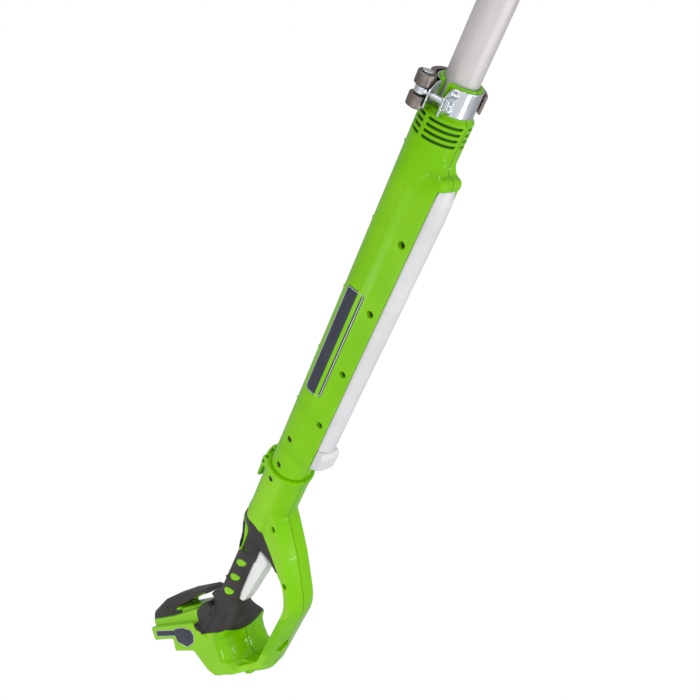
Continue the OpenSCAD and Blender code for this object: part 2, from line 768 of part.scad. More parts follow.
// ---- Twist latch ----------------------------------------------------------------------------------

module twist_latch() color("yellowgreen") place() difference() {
    slab(8) polygon([
        [-47, 29.5], [-45, 33], [-28, 33.5], [12, 28], [13, 24.5], [5, 23], [0, 28.4], [-14, 28.4],
        [-28, 28.5]
    ]);
    across(latch_x, latch_z, pin_d / 2 + pin_play, 40);
}
module latch_pin() color("silver") place() across(latch_x, latch_z, pin_d / 2, 8 + side_play + ear_t);
module latch_spring() color("silver") place() difference() {
    translate([latch_x - 17, 0, neck_r - 1]) cylinder(h = 29.2 - neck_r, r = 3);
    translate([latch_x - 17, 0, neck_r - 2]) cylinder(h = 20, r = 2);
    along(-60, 0, neck_r);
}

// ---- Head -----------------------------------------------------------------------------------------

module head_solid(in) {
    head_frame() translate([0, 0, guard_t + in]) {
        cylinder(h = head_h - 14 - in, r = head_r - in);
        translate([0, 0, head_h - 14 - in]) cylinder(h = 14 - in, r1 = head_r - in, r2 = head_r - 12 - in);
    }
}
module head_socket() along(tube_x1 - socket_len, tube_x1 + 26, tube_r + socket_t);
module head() difference() {
    union() {
        head_solid(0);
        difference() {
            head_socket();
            head_frame() translate([0, 0, -60]) cylinder(h = 60 + guard_t, r = 200);
        }
    }
    head_solid(wall);
    along(tube_x1 - socket_len - 1, tube_x1, tube_r + eps);
    along(tube_x1 - 1, tube_x1 + 30, tube_lead_r);
    head_frame() translate([0, 0, -1]) cylinder(h = 20, r = bearing_r);
    for (p = head_screw_at) screw_recess(p[0], p[1], p[2], p[3]);
    guard_screw_holes();
}
bearing_r = 8;
head_screw_at = [
    [tube_x1 - socket_len + 12, -tube_r - 0.2, -9, -6.5], [tube_x1 - socket_len + 12, tube_r + 0.2, -9, -6.5]
];
module head_near() color("yellowgreen") place() near() head();
module head_far() color("olivedrab") place() far() head();
module head_screws() color("silver") place() for (p = head_screw_at) screw(p[0], p[1], p[2], p[3]);

motor_foot = 6;
module motor() color("dimgray") place() head_frame() difference() {
    union() {
        translate([0, 0, guard_t + wall + motor_foot]) cylinder(h = motor_len, r = motor_r);
        translate([0, 0, guard_t + wall + eps]) cylinder(h = motor_foot, r = 11);
    }
    cylinder(h = 60, r = arbor_d / 2);
}
module motor_shaft() color("silver") place() head_frame()
    translate([0, 0, spool_bottom + 6]) cylinder(h = 62, r = arbor_d / 2 - pin_play);
module shaft_bearing() color("silver") place() head_frame() difference() {
    translate([0, 0, guard_t]) cylinder(h = wall, r = bearing_r - eps);
    cylinder(h = 60, r = arbor_d / 2);
}

// The guard: a sector behind the spool with a lip that hangs from its edge and rests on the ground
module guard() color([0.2, 0.2, 0.22]) place() difference() {
    head_frame() difference() {
        union() {
            cylinder(h = guard_t, r = head_r + 6);
            rotate([0, 0, 180 - guard_half_angle]) rotate_extrude(angle = 2 * guard_half_angle, $fn = 96)
                polygon([
                    [head_r, 0.2], [head_r, guard_t - 0.2], [guard_r, guard_t - 0.2], [guard_r, -lip_h],
                    [guard_r - lip_t, -lip_h], [guard_r - lip_t, 0.2]
                ]);
        }
        translate([0, 0, -1]) cylinder(h = 10, r = 12);
        guard_screw_holes_flat();
    }
    translate([hub_x - 200, -200, -ground - 50]) cube([400, 400, 50]);
}
guard_screw_turns = [40, 140, 220, 320];
guard_screw_at = 25;
module guard_screw_holes_flat() for (a = guard_screw_turns) rotate([0, 0, a])
    translate([guard_screw_at, 0, -3]) cylinder(h = 3 + guard_t + wall, r = shank_r, $fn = 24);
module guard_screw_holes() head_frame() guard_screw_holes_flat();
module guard_screws() color("silver") place() head_frame() for (a = guard_screw_turns)
    rotate([0, 0, a]) translate([guard_screw_at, 0, 0]) {
        translate([0, 0, -2]) cylinder(h = 2 - eps, r = head_screw_r, $fn = 24);
        translate([0, 0, -1]) cylinder(h = 1 + guard_t + wall, r = shank_r, $fn = 24);
    }
module line_cutter() color("silver") place() head_frame() rotate([0, 0, 180 + guard_half_angle - 14])
    translate([guard_r - 14, 0, -16]) cube([14 - lip_t - eps, 1.5, 16.2 - eps]);

spool_wall = 3;
spool_roof = 2;
hub_r = 12;
hub_bore = 8;
module spool_housing() color([0.2, 0.2, 0.22]) place() head_frame() translate([0, 0, spool_bottom])
    difference() {
        cylinder(h = spool_h, r = spool_r);
        translate([0, 0, -1]) cylinder(h = spool_h + 1 - spool_roof, r = spool_r - spool_wall);
        cylinder(h = 60, r = arbor_d / 2 - pin_play);
        across(0, spool_h / 2, 3, 60);
    }
module line_spool() color("yellowgreen") place() head_frame() translate([0, 0, spool_bottom + 2])
    difference() {
        union() {
            cylinder(h = spool_h - 4 - eps, r = hub_r);
            for (z = [0, spool_h - 6 - eps]) translate([0, 0, z]) cylinder(h = 2, r = spool_r - 4);
        }
        translate([0, 0, -1]) cylinder(h = 60, r = hub_bore);
    }
module cutting_line() color("orange") place() head_frame() translate([0, 0, line_z]) {
    difference() {
        translate([0, 0, -spool_h / 2 + 5]) cylinder(h = spool_h - 10, r = 24);
        translate([0, 0, -30]) cylinder(h = 60, r = hub_r + eps);
    }
    for (s = [-1, 1]) rotate([s * 90, 0, 0]) translate([0, 0, 23])
        cylinder(h = line_reach - 23, r = line_d / 2, $fn = 16);
}
module line_eyelets() color("silver") place() head_frame() translate([0, 0, line_z])
    for (s = [-1, 1]) rotate([s * 90, 0, 0]) difference() {
        translate([0, 0, spool_r - 3.5]) cylinder(h = 4.5, r = 3);
        cylinder(h = 60, r = line_d / 2);
    }
bump_in = 5.3;
module bump_spring() color("silver") place() head_frame() translate([0, 0, spool_bottom + 4])
    difference() {
        cylinder(h = spool_h - 4 - spool_roof, r = hub_bore - 1);
        translate([0, 0, -1]) cylinder(h = 40, r = hub_bore - 2.5);
    }
// Bump knob: a dome whose stem slides inside the spring
module bump_knob() color("black") place() head_frame() translate([0, 0, spool_bottom - 14]) difference() {
    union() {
        cylinder(h = 9, r1 = 14, r2 = 18);
        translate([0, 0, 9]) cylinder(h = 2.6, r = 20);
        cylinder(h = 21, r = bump_in);
    }
    translate([0, 0, 12]) cylinder(h = 20, r = arbor_d / 2 + side_play);
}

// ---- Show -------------------------------------------------------------------------------------------

housing_near();
housing_far();
coupling_sleeve();
slide_rail();
rail_stop();
housing_screws();
label_plate();
tube_guide();
coiled_lead();
clamp_band();
eye_bolt();
clamp_nut();
clamp_lever();
lever_pin();
tube();
tube_stop();
tube_lead();
handle_near();
handle_far();
grip_cover_near();
grip_cover_far();
loop_inlay_near();
loop_inlay_far();
bar_cover_near();
bar_cover_far();
handle_screws();
trigger();
trigger_pin();
trigger_spring();
lock_button();
lock_spring();
power_switch();
control_board();
battery_terminals();
handle_lead();
dock_badge();
twist_latch();
latch_pin();
latch_spring();
head_near();
head_far();
head_screws();
motor();
motor_shaft();
shaft_bearing();
guard();
guard_screws();
line_cutter();
spool_housing();
line_spool();
cutting_line();
line_eyelets();
bump_spring();
bump_knob();
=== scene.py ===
"""Looks of a cordless string trimmer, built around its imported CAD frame."""

import json
import math

import bmesh
import bpy
import numpy as np
import openvdb
from mathutils import Matrix, Vector


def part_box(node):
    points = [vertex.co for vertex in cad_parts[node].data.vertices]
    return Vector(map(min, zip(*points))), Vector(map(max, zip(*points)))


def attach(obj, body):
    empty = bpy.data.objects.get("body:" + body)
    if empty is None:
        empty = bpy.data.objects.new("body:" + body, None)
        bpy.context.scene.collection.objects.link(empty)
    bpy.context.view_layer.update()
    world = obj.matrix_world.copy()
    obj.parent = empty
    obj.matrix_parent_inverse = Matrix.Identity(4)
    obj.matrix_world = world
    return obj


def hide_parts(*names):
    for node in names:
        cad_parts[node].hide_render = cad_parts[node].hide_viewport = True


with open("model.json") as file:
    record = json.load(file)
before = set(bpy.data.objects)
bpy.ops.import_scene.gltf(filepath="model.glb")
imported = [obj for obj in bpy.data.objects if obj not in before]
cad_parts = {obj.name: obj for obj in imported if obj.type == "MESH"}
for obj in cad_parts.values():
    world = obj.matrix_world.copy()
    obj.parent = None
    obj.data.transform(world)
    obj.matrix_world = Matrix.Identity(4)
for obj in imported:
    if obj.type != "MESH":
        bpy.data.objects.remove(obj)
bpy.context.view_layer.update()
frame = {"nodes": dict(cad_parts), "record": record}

MM = 0.001
# The shaft's own frame in millimetres: x = 0 at the coupling, on the tube's axis, z up.
ORIGIN = Vector((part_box("housing_near")[0].x, 0, sum(c.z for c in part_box("tube")) / 2))
COARSE = 1.0


def srgb(red, green, blue):
    return tuple(
        ((c / 255 + 0.055) / 1.055) ** 2.4 if c > 10 else c / 3294.6 for c in (red, green, blue)
    ) + (1.0,)


# ---- Solids as distances, in millimetres --------------------------------------------------------


class Block:
    """A box of grid points. Fields on it are distances to a surface, negative inside."""

    def __init__(self, lo, hi, pitch):
        self.pitch = pitch * COARSE
        self.lo = lo
        self.axes = [
            np.arange(int((b - a) / self.pitch) + 2, dtype=np.float32) * self.pitch + a
            for a, b in zip(lo, hi)
        ]
        self.shape = tuple(len(a) for a in self.axes)
        self.x = self.axes[0].reshape(-1, 1, 1)
        self.y = self.axes[1].reshape(1, -1, 1)
        self.z = self.axes[2].reshape(1, 1, -1)

    def full(self, field):
        return np.array(np.broadcast_to(field, self.shape), dtype=np.float32)

    def part(self, lo, hi):
        """Slices of the points inside a box, and those points."""
        cut = tuple(
            slice(int(np.searchsorted(a, l)), int(np.searchsorted(a, h)))
            for a, l, h in zip(self.axes, lo, hi)
        )
        return cut, self.x[cut[0]], self.y[:, cut[1]], self.z[:, :, cut[2]]

    def carve(self, field, lo, hi, make, soft):
        """Takes make(x, y, z) out of the field inside a box."""
        cut, x, y, z = self.part(lo, hi)
        field[cut] = less(field[cut], make(x, y, z), soft)

    def mesh(self, field):
        """Vertices in millimetres and faces of the field's zero surface."""
        band = 3 * self.pitch
        grid = openvdb.FloatGrid(band)
        grid.copyFromArray(
            np.ascontiguousarray(np.clip(self.full(field), -band, band)), tolerance=1e-3
        )
        points, quads = grid.convertToQuads(0.0)
        return points * self.pitch + np.array(self.lo), quads


def join(a, b, soft):
    h = np.maximum(soft - np.abs(a - b), 0)
    return np.minimum(a, b) - h * h * (0.25 / soft)


def meet(a, b, soft):
    return -join(-a, -b, soft)


def less(a, b, soft):
    return -join(-a, b, soft)


def fillet(points, radius, steps=5):
    """The outline with its corners rounded. A third number in a corner is its own radius."""
    made = []
    for i, here in enumerate(points):
        p = np.array(here[:2], float)
        r = here[2] if len(here) > 2 else radius
        before = np.array(points[i - 1][:2]) - p
        after = np.array(points[(i + 1) % len(points)][:2]) - p
        la, lb = np.linalg.norm(before), np.linalg.norm(after)
        ua, ub = before / la, after / lb
        half = math.acos(max(-1, min(1, float(ua @ ub)))) / 2
        reach = min(r / max(math.tan(half), 1e-3), 0.48 * la, 0.48 * lb)
        if r <= 0 or reach < 0.05:
            made.append(tuple(p))
            continue
        for k in range(steps + 1):
            t = k / steps
            q = p + ua * reach * (1 - t) ** 2 + ub * reach * t * t
            made.append(tuple(q))
    return made


def outline(u, v, points):
    """Signed distance to a closed outline in the plane of u and v."""
    shape = np.broadcast(u, v).shape
    best = np.full(shape, 1e9, np.float32)
    inside = np.zeros(shape, bool)
    for i, (au, av) in enumerate(points):
        bu, bv = points[(i + 1) % len(points)]
        eu, ev = bu - au, bv - av
        wu, wv = u - au, v - av
        t = np.clip((wu * eu + wv * ev) / (eu * eu + ev * ev + 1e-12), 0, 1)
        best = np.minimum(best, (wu - eu * t) ** 2 + (wv - ev * t) ** 2)
        if ev:
            inside ^= ((av > v) != (bv > v)) & (u < eu * (v - av) / ev + au)
    return np.where(inside, -1, 1).astype(np.float32) * np.sqrt(best)


def corner(u, v, r):
    """What lies in both u and v, each moved in by r, with a corner of radius r between them."""
    return np.minimum(np.maximum(u, v), 0) + np.hypot(np.maximum(u, 0), np.maximum(v, 0)) - r


def prism(flat, across, half, r):
    """An outline drawn out to both sides, with its two rims rounded."""
    return corner(flat + r, np.abs(across) - half + r, r)


def ridge(t, width):
    """One at t = 0, and falling away smoothly to both sides."""
    return np.exp(-((t / width) ** 2))


def parting(field, y, depth):
    """Shallow groove where two shell halves meet."""
    return depth * ridge(y, 0.6) * (np.abs(field) < 3)


def box_field(x, y, z, lo, hi, r):
    """A box between two corners, with round edges."""
    q = [
        np.abs(c - (a + b) / 2) - (b - a) / 2 + r
        for c, a, b in zip((x, y, z), lo, hi)
    ]
    out = np.sqrt(sum(np.maximum(c, 0) ** 2 for c in q))
    return out + np.minimum(np.maximum(np.maximum(q[0], q[1]), q[2]), 0) - r


def along(t, stops, values):
    """The value at t, drawn straight between the stops."""
    return np.interp(t, stops, values).astype(np.float32)


def step(t, lo, hi):
    t = np.clip((t - lo) / (hi - lo), 0, 1)
    return t * t * (3 - 2 * t)


# ---- Pieces -------------------------------------------------------------------------------------


def as_mesh(name, points, quads):
    mesh = bpy.data.meshes.new(name)
    quads = np.asarray(quads, np.int32).reshape(-1, 4)
    loops = quads.ravel()
    starts = (np.arange(len(quads)) * 4).astype(np.int32)
    mesh.vertices.add(len(points))
    mesh.vertices.foreach_set("co", np.asarray(points, np.float32).ravel())
    mesh.loops.add(len(loops))
    mesh.loops.foreach_set("vertex_index", loops)
    mesh.polygons.add(len(starts))
    mesh.polygons.foreach_set("loop_start", starts)
    mesh.update(calc_edges=True)
    mesh.validate()
    return mesh


def settle(name, mesh, material, body, replaced=(), sharp=None):
    """Makes the mesh a piece of the model, with smooth shading."""
    obj = bpy.data.objects.new(name, mesh)
    bpy.context.scene.collection.objects.link(obj)
    mesh.materials.append(material)
    mesh.polygons.foreach_set("use_smooth", np.ones(len(mesh.polygons), bool))
    if sharp:
        mesh.set_sharp_from_angle(angle=math.radians(sharp))
    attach(obj, body)
    if replaced:
        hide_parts(*replaced)
    return obj


def in_row(points):
    return np.asarray(points) * MM + np.array(ORIGIN)


def carved(name, block, field, material, body, replaced=(), gloss=None, place=None):
    """Makes the field's surface a piece. place takes its points to the shaft's frame, mirrored."""
    points, quads = block.mesh(field)
    spots = in_row(place(points) if place else points)
    mesh = as_mesh(name, spots, quads if place else quads[:, ::-1])
    obj = settle(name, mesh, material, body, replaced)
    if gloss is not None:
        normals = np.zeros(len(mesh.vertices) * 3, np.float32)
        mesh.vertices.foreach_get("normal", normals)
        layer = mesh.attributes.new("gloss", "FLOAT", "POINT")
        layer.data.foreach_set("value", gloss(points, normals.reshape(-1, 3)).astype(np.float32))
    return obj


# ---- Materials ----------------------------------------------------------------------------------


BUMP_DEPTH = 0.0002


class Shader:
    """A node material whose colour, roughness and bump come from procedural textures."""

    def __init__(self, name):
        self.material = bpy.data.materials.new(name)
        self.material.use_nodes = True
        self.nodes = self.material.node_tree.nodes
        self.links = self.material.node_tree.links
        self.base = self.nodes["Principled BSDF"]
        self.place = self.nodes.new("ShaderNodeTexCoord").outputs["Object"]

    def node(self, kind, values=(), **settings):
        made = self.nodes.new(kind)
        for key, value in settings.items():
            setattr(made, key, value)
        for key, value in dict(values).items():
            if isinstance(value, bpy.types.NodeSocket):
                self.links.new(value, made.inputs[key])
            else:
                made.inputs[key].default_value = value
        return made

    def noise(self, scale, detail=3.0, stretch=None):
        place = self.place
        if stretch:
            place = self.node("ShaderNodeMapping", {"Vector": place, "Scale": stretch}).outputs[0]
        return self.node(
            "ShaderNodeTexNoise", {"Vector": place, "Scale": scale, "Detail": detail}
        ).outputs["Fac"]

    def ramp(self, factor, low, high, a=0.0, b=1.0):
        """factor from low to high, mapped to a to b."""
        return self.node(
            "ShaderNodeMapRange",
            {"Value": factor, "From Min": low, "From Max": high, "To Min": a, "To Max": b},
        ).outputs[0]

    def mix(self, factor, a, b):
        made = self.node("ShaderNodeMix", data_type="RGBA")
        for socket, value in ((made.inputs[0], factor), (made.inputs[6], a), (made.inputs[7], b)):
            if isinstance(value, bpy.types.NodeSocket):
                self.links.new(value, socket)
            else:
                socket.default_value = value
        return made.outputs[2]

    def math(self, operation, a, b):
        return self.node("ShaderNodeMath", {0: a, 1: b}, operation=operation).outputs[0]

    def bump(self, height, strength):
        made = self.node(
            "ShaderNodeBump", {"Height": height, "Strength": strength, "Distance": BUMP_DEPTH}
        )
        self.links.new(made.outputs[0], self.base.inputs["Normal"])

    def set(self, **values):
        for key, value in values.items():
            socket = self.base.inputs[key.replace("_", " ")]
            if isinstance(value, bpy.types.NodeSocket):
                self.links.new(value, socket)
            else:
                socket.default_value = value
        return self.material


def plastic(name, dark, light, rough, grain, strength, specular=0.5):
    """Moulded plastic: slow colour drift, uneven gloss and a fine texture."""
    s = Shader(name)
    drift = s.ramp(s.noise(28.0), 0.35, 0.65)
    s.bump(s.noise(grain, 2.0), strength)
    return s.set(
        Base_Color=s.mix(drift, dark, light),
        Roughness=s.ramp(s.noise(252.0), 0.3, 0.7, rough - 0.05, rough + 0.05),
        Specular_IOR_Level=specular,
    )


def shell_green(name):
    """Shell plastic: spark-eroded sides, polished outer faces, as the gloss attribute says."""
    s = Shader(name)
    gloss = s.node("ShaderNodeAttribute", attribute_name="gloss").outputs["Fac"]
    drift = s.ramp(s.noise(22.0), 0.35, 0.65)
    matte = s.mix(drift, srgb(130, 192, 34), srgb(137, 199, 42))
    shiny = s.mix(drift, srgb(111, 182, 0), srgb(118, 188, 1))
    matte_rough = s.ramp(s.noise(420.0), 0.3, 0.7, 0.46, 0.58)
    gloss_rough = s.ramp(s.noise(60.0), 0.3, 0.7, 0.13, 0.2)
    rough = s.math(
        "ADD", s.math("MULTIPLY", matte_rough, s.math("SUBTRACT", 1.0, gloss)),
        s.math("MULTIPLY", gloss_rough, gloss),
    )
    grain = s.math("MULTIPLY", s.noise(2600.0, 2.0), s.ramp(gloss, 0.0, 1.0, 1.0, 0.06))
    s.bump(grain, 0.22)
    # Line where the two halves meet
    across = s.node("ShaderNodeSeparateXYZ", {0: s.place}).outputs["Y"]
    seam = s.ramp(s.math("ABSOLUTE", across, 0.0), 0.00015, 0.0004, 1.0, 0.0)
    return s.set(
        Base_Color=s.mix(seam, s.mix(gloss, matte, shiny), srgb(34, 72, 0)),
        Roughness=rough,
        Specular_IOR_Level=0.18,
    )


def metal(name, dark, light, rough, stretch=(1, 1, 1), scale=60.0, metallic=1.0, strength=0.08):
    """Metal with brushed or drawn streaks."""
    s = Shader(name)
    streaks = s.noise(scale, 4.0, stretch)
    s.bump(streaks, strength)
    return s.set(
        Base_Color=s.mix(s.ramp(streaks, 0.35, 0.65), dark, light),
        Roughness=s.ramp(s.noise(scale * 2, 3.0, stretch), 0.3, 0.7, rough - 0.06, rough + 0.06),
        Metallic=metallic,
    )


GREEN = shell_green("shell_green")
RUBBER = plastic("grip_rubber", srgb(46, 43, 43), srgb(54, 50, 50), 0.52, 1800.0, 0.35, 0.4)
BLACK = plastic("black_plastic", srgb(26, 26, 28), srgb(36, 36, 38), 0.45, 1500.0, 0.25)
RAIL = plastic("rail_white", srgb(199, 199, 202), srgb(207, 207, 209), 0.42, 1200.0, 0.1)
TRIGGER = plastic("trigger_white", srgb(226, 228, 228), srgb(233, 234, 233), 0.36, 1400.0, 0.1)
LABEL = plastic("label", srgb(50, 54, 66), srgb(58, 62, 74), 0.45, 900.0, 0.05, 0.3)
LABEL_EDGE = plastic("label_edge", srgb(176, 184, 180), srgb(190, 196, 192), 0.4, 900.0, 0.05)
ZINC = metal(
    "zinc_steel", srgb(206, 214, 220), srgb(222, 228, 232), 0.2,
    (1, 1, 1), 30.0, 1.0, 0.02,
)
STEEL = metal("steel", srgb(120, 120, 118), srgb(160, 158, 152), 0.34, (6, 1, 1), 60.0)
LEVER = metal("lever_grey", srgb(126, 118, 112), srgb(142, 134, 128), 0.42, (1, 1, 1), 120.0)
TUBE = metal(
    "tube_silver", srgb(198, 194, 194), srgb(206, 202, 201), 0.48,
    (2, 60, 60), 30.0, 0.4, 0.03,
)
CAN = metal("motor_can", srgb(140, 142, 146), srgb(168, 170, 174), 0.4, (1, 1, 1), 70.0)
BOARD = plastic("board_green", srgb(20, 84, 50), srgb(30, 98, 60), 0.35, 600.0, 0.3)
SCREW = metal("screw_steel", srgb(70, 70, 68), srgb(92, 92, 88), 0.4, (1, 1, 1), 300.0)
# Dark green painted shade: the shaded inside of the housing, as seen through the cooling slots
PAINTED_SHADE = plastic("painted_shade_green", srgb(34, 84, 0), srgb(44, 98, 0), 0.5, 1500.0, 0.2, 0.3)
LINE = plastic("line_orange", srgb(228, 120, 30), srgb(238, 136, 44), 0.35, 900.0, 0.1)


# ---- Handle -------------------------------------------------------------------------------------

DOCK_X, DOCK_Z = -436.0, 83.0
DOCK_COS, DOCK_SIN = math.cos(math.radians(30)), math.sin(math.radians(30))


def dock(x, z):
    """The battery dock's frame: d runs along its deck, h stands on it."""
    return (
        (x - DOCK_X) * DOCK_COS - (z - DOCK_Z) * DOCK_SIN,
        (x - DOCK_X) * DOCK_SIN + (z - DOCK_Z) * DOCK_COS,
    )


def from_dock(d, h):
    return (DOCK_X + d * DOCK_COS + h * DOCK_SIN, DOCK_Z - d * DOCK_SIN + h * DOCK_COS)


NECK_R, LOOP_HALF, CROWN = 25.2, 18.5, 5.0
DOCK_HALF, DECK_HALF, CREST_HALF = 37.0, 27.0, 13.0
COVER_IN, CORE_IN = 2.4, 1.6  # depths of the rubber's back, and of the core's skin below it
LOOP_OUTER = [
    (-40, 4), (-50, -6), (-62, -18), (-69, -26), (-80, -38), (-97.4, -55.8), (-122, -76),
    (-132, -84), (-140, -89.2), (-150, -92.9), (-160, -94.2), (-268, -94.2), (-279, -92.5, 10),
    (-290, -84, 6), (-312, -66), (-300, 4),
]
LOOP_INNER = [
    (-113, 26), (-113, 12), (-117, 3), (-119, -12), (-117.6, -31), (-117, -40), (-118.7, -46.4),
    (-120.7, -54.8), (-125, -65), (-130, -71), (-137, -76.6), (-147.8, -82.4), (-156, -84.6),
    (-166, -85.2), (-270, -84.9), (-300, -62), (-330, 26),
]
PLATE = [
    (0, 0, 2.5), (132, 0, 3), (146, -9, 8), (156, -16), (164, -26), (165, -70.5), (146, -70.5, 12),
    (133, -64, 10), (122, -51, 6), (109, -37, 4), (54, -35.7, 3), (60, -18.7, 4), (0, -18.4, 2.5),
]
DECK = [(-6, -6), (-6, 8, 4), (62, 9), (128, 14), (160, 14), (160, -6)]
CREST = [(77, 4), (77, 13.6), (62, 14.2), (63, 17.2, 1.5), (118, 18.3), (165, 20), (165, 4)]
BAR = [
    (-27.5, -2, 7), (-26.5, 9, 9), (-19, 17, 10), (28, 30.2, 22), (88, 34.4, 30), (152, 34.6, 14),
    (172, 26, 6), (172, 16), (128, 11), (62, 2), (20, -4), (-20, -6, 8),
]
BAR_GAP = [
    (64, 15.4, 1), (74, 18.8, 1), (128, 25.2), (172, 29.2, 3), (178, 20), (160, 18.8), (118, 16.4),
]
GRIP_RUBBER = [
    (-95, 60), (-95, 22), (-92.5, 9), (-88, -4, 8), (-92.5, -11.5, 8), (-98.5, -18.5),
    (-106, -33.5), (-113, -45.5), (-118.5, -54.6, 3), (-124.6, -57.4, 2), (-132, -52), (-150, -45),
    from_dock(240, -16.3), from_dock(193, -16.3), (*from_dock(158, -15.7), 8),
    (*from_dock(137, -10), 6), from_dock(134, 1), from_dock(133, 5), from_dock(136, 11),
    from_dock(150, 20), from_dock(150, 60),
]
BAR_RUBBER = [
    (-24.5, 3, 3), (64, 3, 2), (73, 13, 2), (54.5, 13, 2), (58, 16.6, 2), (80, 17.6), (106, 24),
    (150, 30.6), (172, 31.6), (180, 60), (-60, 60), (-40, 20), (-26, 12),
]
# Skins of the boot and the belly: levels of h, then flat, front, half breadth and power there
BOOT = (
    [-30, -16, -12, -8, -2, 4, 10, 16, 24],
    [176, 186, 185, 184, 182, 181, 182, 186, 196],
    [197, 203.5, 204.4, 206, 209.5, 213.9, 219.5, 228, 240],
    [36.4, 34.6, 32.4, 29.6, 25.2, 21.6, 19.2, 17.8, 17.4],
    [2.6, 3, 2.8, 2.6, 2.4, 2.2, 2.1, 2, 2],
)
BELLY = (
    [-80, -72, -66, -54, -50, -38, -26, -16, -6],
    [188, 188, 188, 175, 173, 171.5, 174, 186, 190],
    [203, 202, 200, 195, 194, 193.5, 196.5, 203.5, 206],
    [36.2, 36.2, 36.9, 37, 37, 37, 36.4, 34.7, 33],
    [4, 4, 4, 2.4, 2.2, 2.2, 2.5, 4, 4],
)
BOOT_SCALE = 15.0  # makes the boot's field roughly a distance in millimetres
HEX_X = (-171, -201, -231)
TRIGGER_X0, TRIGGER_X1 = -141.0, -238.0
BUTTON_X = (-159.0, -109.0)
SCREWS = [
    (-12, 0, -22.6), (-90, 18.5, -12), (-75, -26, -12), (-123.4, -72, -12), (-146, -0.4, -13),
    (-220, 9.6, -13), (-278, 12, -18), (-397, 81, -9),
]


def grip_core(x, y, z):
    """The neck, and the grip with the horn over its front end."""
    flare = 1.3 * step(x, -17.0, -1.5)
    neck = np.maximum(np.hypot(y, z) - (NECK_R + flare), np.maximum(x + 0.6, -92 - x))
    radius = along(
        x, [-320, -262, -171, -150, -128, -112, -100, -88],
        [18.2, 17.6, 16.7, 16.8, 17.3, 19.6, 23.4, 25.2],
    )
    grip = np.maximum(np.hypot(y, z) - radius, np.maximum(x + 84, -296 - x))
    lift = along(x, [-160, -143, -132, -122, -112, -90], [-0.5, 1.5, 4.5, 8.5, 11.6, 11.6])
    horn = meet(np.hypot(y, z - lift) - 17.2, np.maximum(x + 98, -160 - x), 9.0)
    return join(join(neck, grip, 3.0), horn, 5.0)


def swell(y, d, h, rows):
    """Zero on a skin whose level cuts are half ovals: flat sides, then a rounded front."""
    levels, *shapes = rows
    flat, front, half, power = (along(h, levels, row) for row in shapes)
    run = np.maximum(d - flat, 0) / (front - flat)
    return (run**power + (np.abs(y) / half) ** power) ** (1 / power) - 1


def foot_solid(y, d, h):
    """The flared boot at the grip's foot."""
    loft = swell(y, d, h, BOOT) * BOOT_SCALE
    side = outline(d, h, fillet([
        (133.6, -17), (133, 5), (136.5, 12), (154, 22.6), (183, 31.4), (205, 26), (236, 14),
        (236, -17),
    ], 5))
    lobe_half = along(h, [-17, -12, 0, 14], [34.4, 33.6, 28.6, 26.6])
    lobe_side = outline(d, h, fillet([
        (133.6, -17), (133, 5), (136.5, 12), (154, 22.6), (170, 27), (172, 8), (156, -7), (150, -17)
    ], 6))
    lobe = prism(lobe_side, np.abs(y) + 34.4 - lobe_half, 34.4, 5.0)
    return join(meet(loft, side, 2.0), lobe, 3.5)


def belly_solid(block, x, y, z):
    """The rounded front of the dock, below the boot."""
    d, h = dock(x, z)
    norm = swell(y, d, h, BELLY)
    slope = np.sqrt(sum(g * g for g in np.gradient(norm, block.pitch)))
    skin = norm / np.maximum(slope, 0.012)
    side = outline(d, h, fillet([
        (118, -16), (112, -30), (122, -51), (133, -64), (146, -70), (230, -70), (230, -15.8),
        (140, -15.8),
    ], 6))
    return meet(skin, side, 1.6)


def loop_solid(x, y, z):
    crown = CROWN * (1 - np.minimum(np.abs(y) / LOOP_HALF, 1) ** 1.15)
    outer = outline(x, z, fillet(LOOP_OUTER, 3)) - crown
    outer = meet(outer, x + 57, 2.0)
    bar = less(outer, outline(x, z, fillet(LOOP_INNER, 3)), 2.2)
    return meet(bar, np.abs(y) - LOOP_HALF, 0.9)


def bar_solid(y, d, h):
    """The hand bar over the dock."""
    half = along(d, [-30, 40, 80, 170], [18, 18, 15, 15])
    flat = outline(d, h, fillet(BAR, 6))
    return prism(flat, np.abs(y) + (18 - half), 18.0, 6.5)


def hexes(x, y, z):
    """Windows in the rubber, on both flanks of the grip."""
    arc = np.arctan2(np.abs(y), -z) * 16.8 - 24.6
    field = None
    for at in HEX_X:
        u = np.abs((x - at + 2.2) * 0.7 - arc * 0.71)
        v = np.abs((x - at + 2.2) * 0.71 + arc * 0.7)
        one = meet(v - 4.8, 0.685 * u + 0.728 * v - 7.3, 1.4)
        field = one if field is None else np.minimum(field, one)
    return field


def button_zone(x, y, z, out):
    """The lock button's rounded place on the back of the grip, grown by out."""
    u = np.abs(x - sum(BUTTON_X) / 2) - (BUTTON_X[1] - BUTTON_X[0]) / 2 - out + 9
    return corner(u, 4.0 - z - out + 9 + 0 * y, 9)


def recess(x, y, z, at, r=3.3):
    """A screw recess that opens on the near side."""
    return np.maximum(np.hypot(x - at[0], z - at[1]) - r, y - at[2])


def teardrop(x, y, z):
    """The recess in the loop's underside that hangs on a nail."""
    u, v = np.abs(y + 0.6), x + 229.0
    tip = 22.5
    round_end = np.hypot(u, v) - 8.0
    side = u * 0.942 + v * 0.335 - tip * 0.335
    flat = np.where(v > 2.7, side, round_end)
    return np.maximum(flat, z + 90.5)


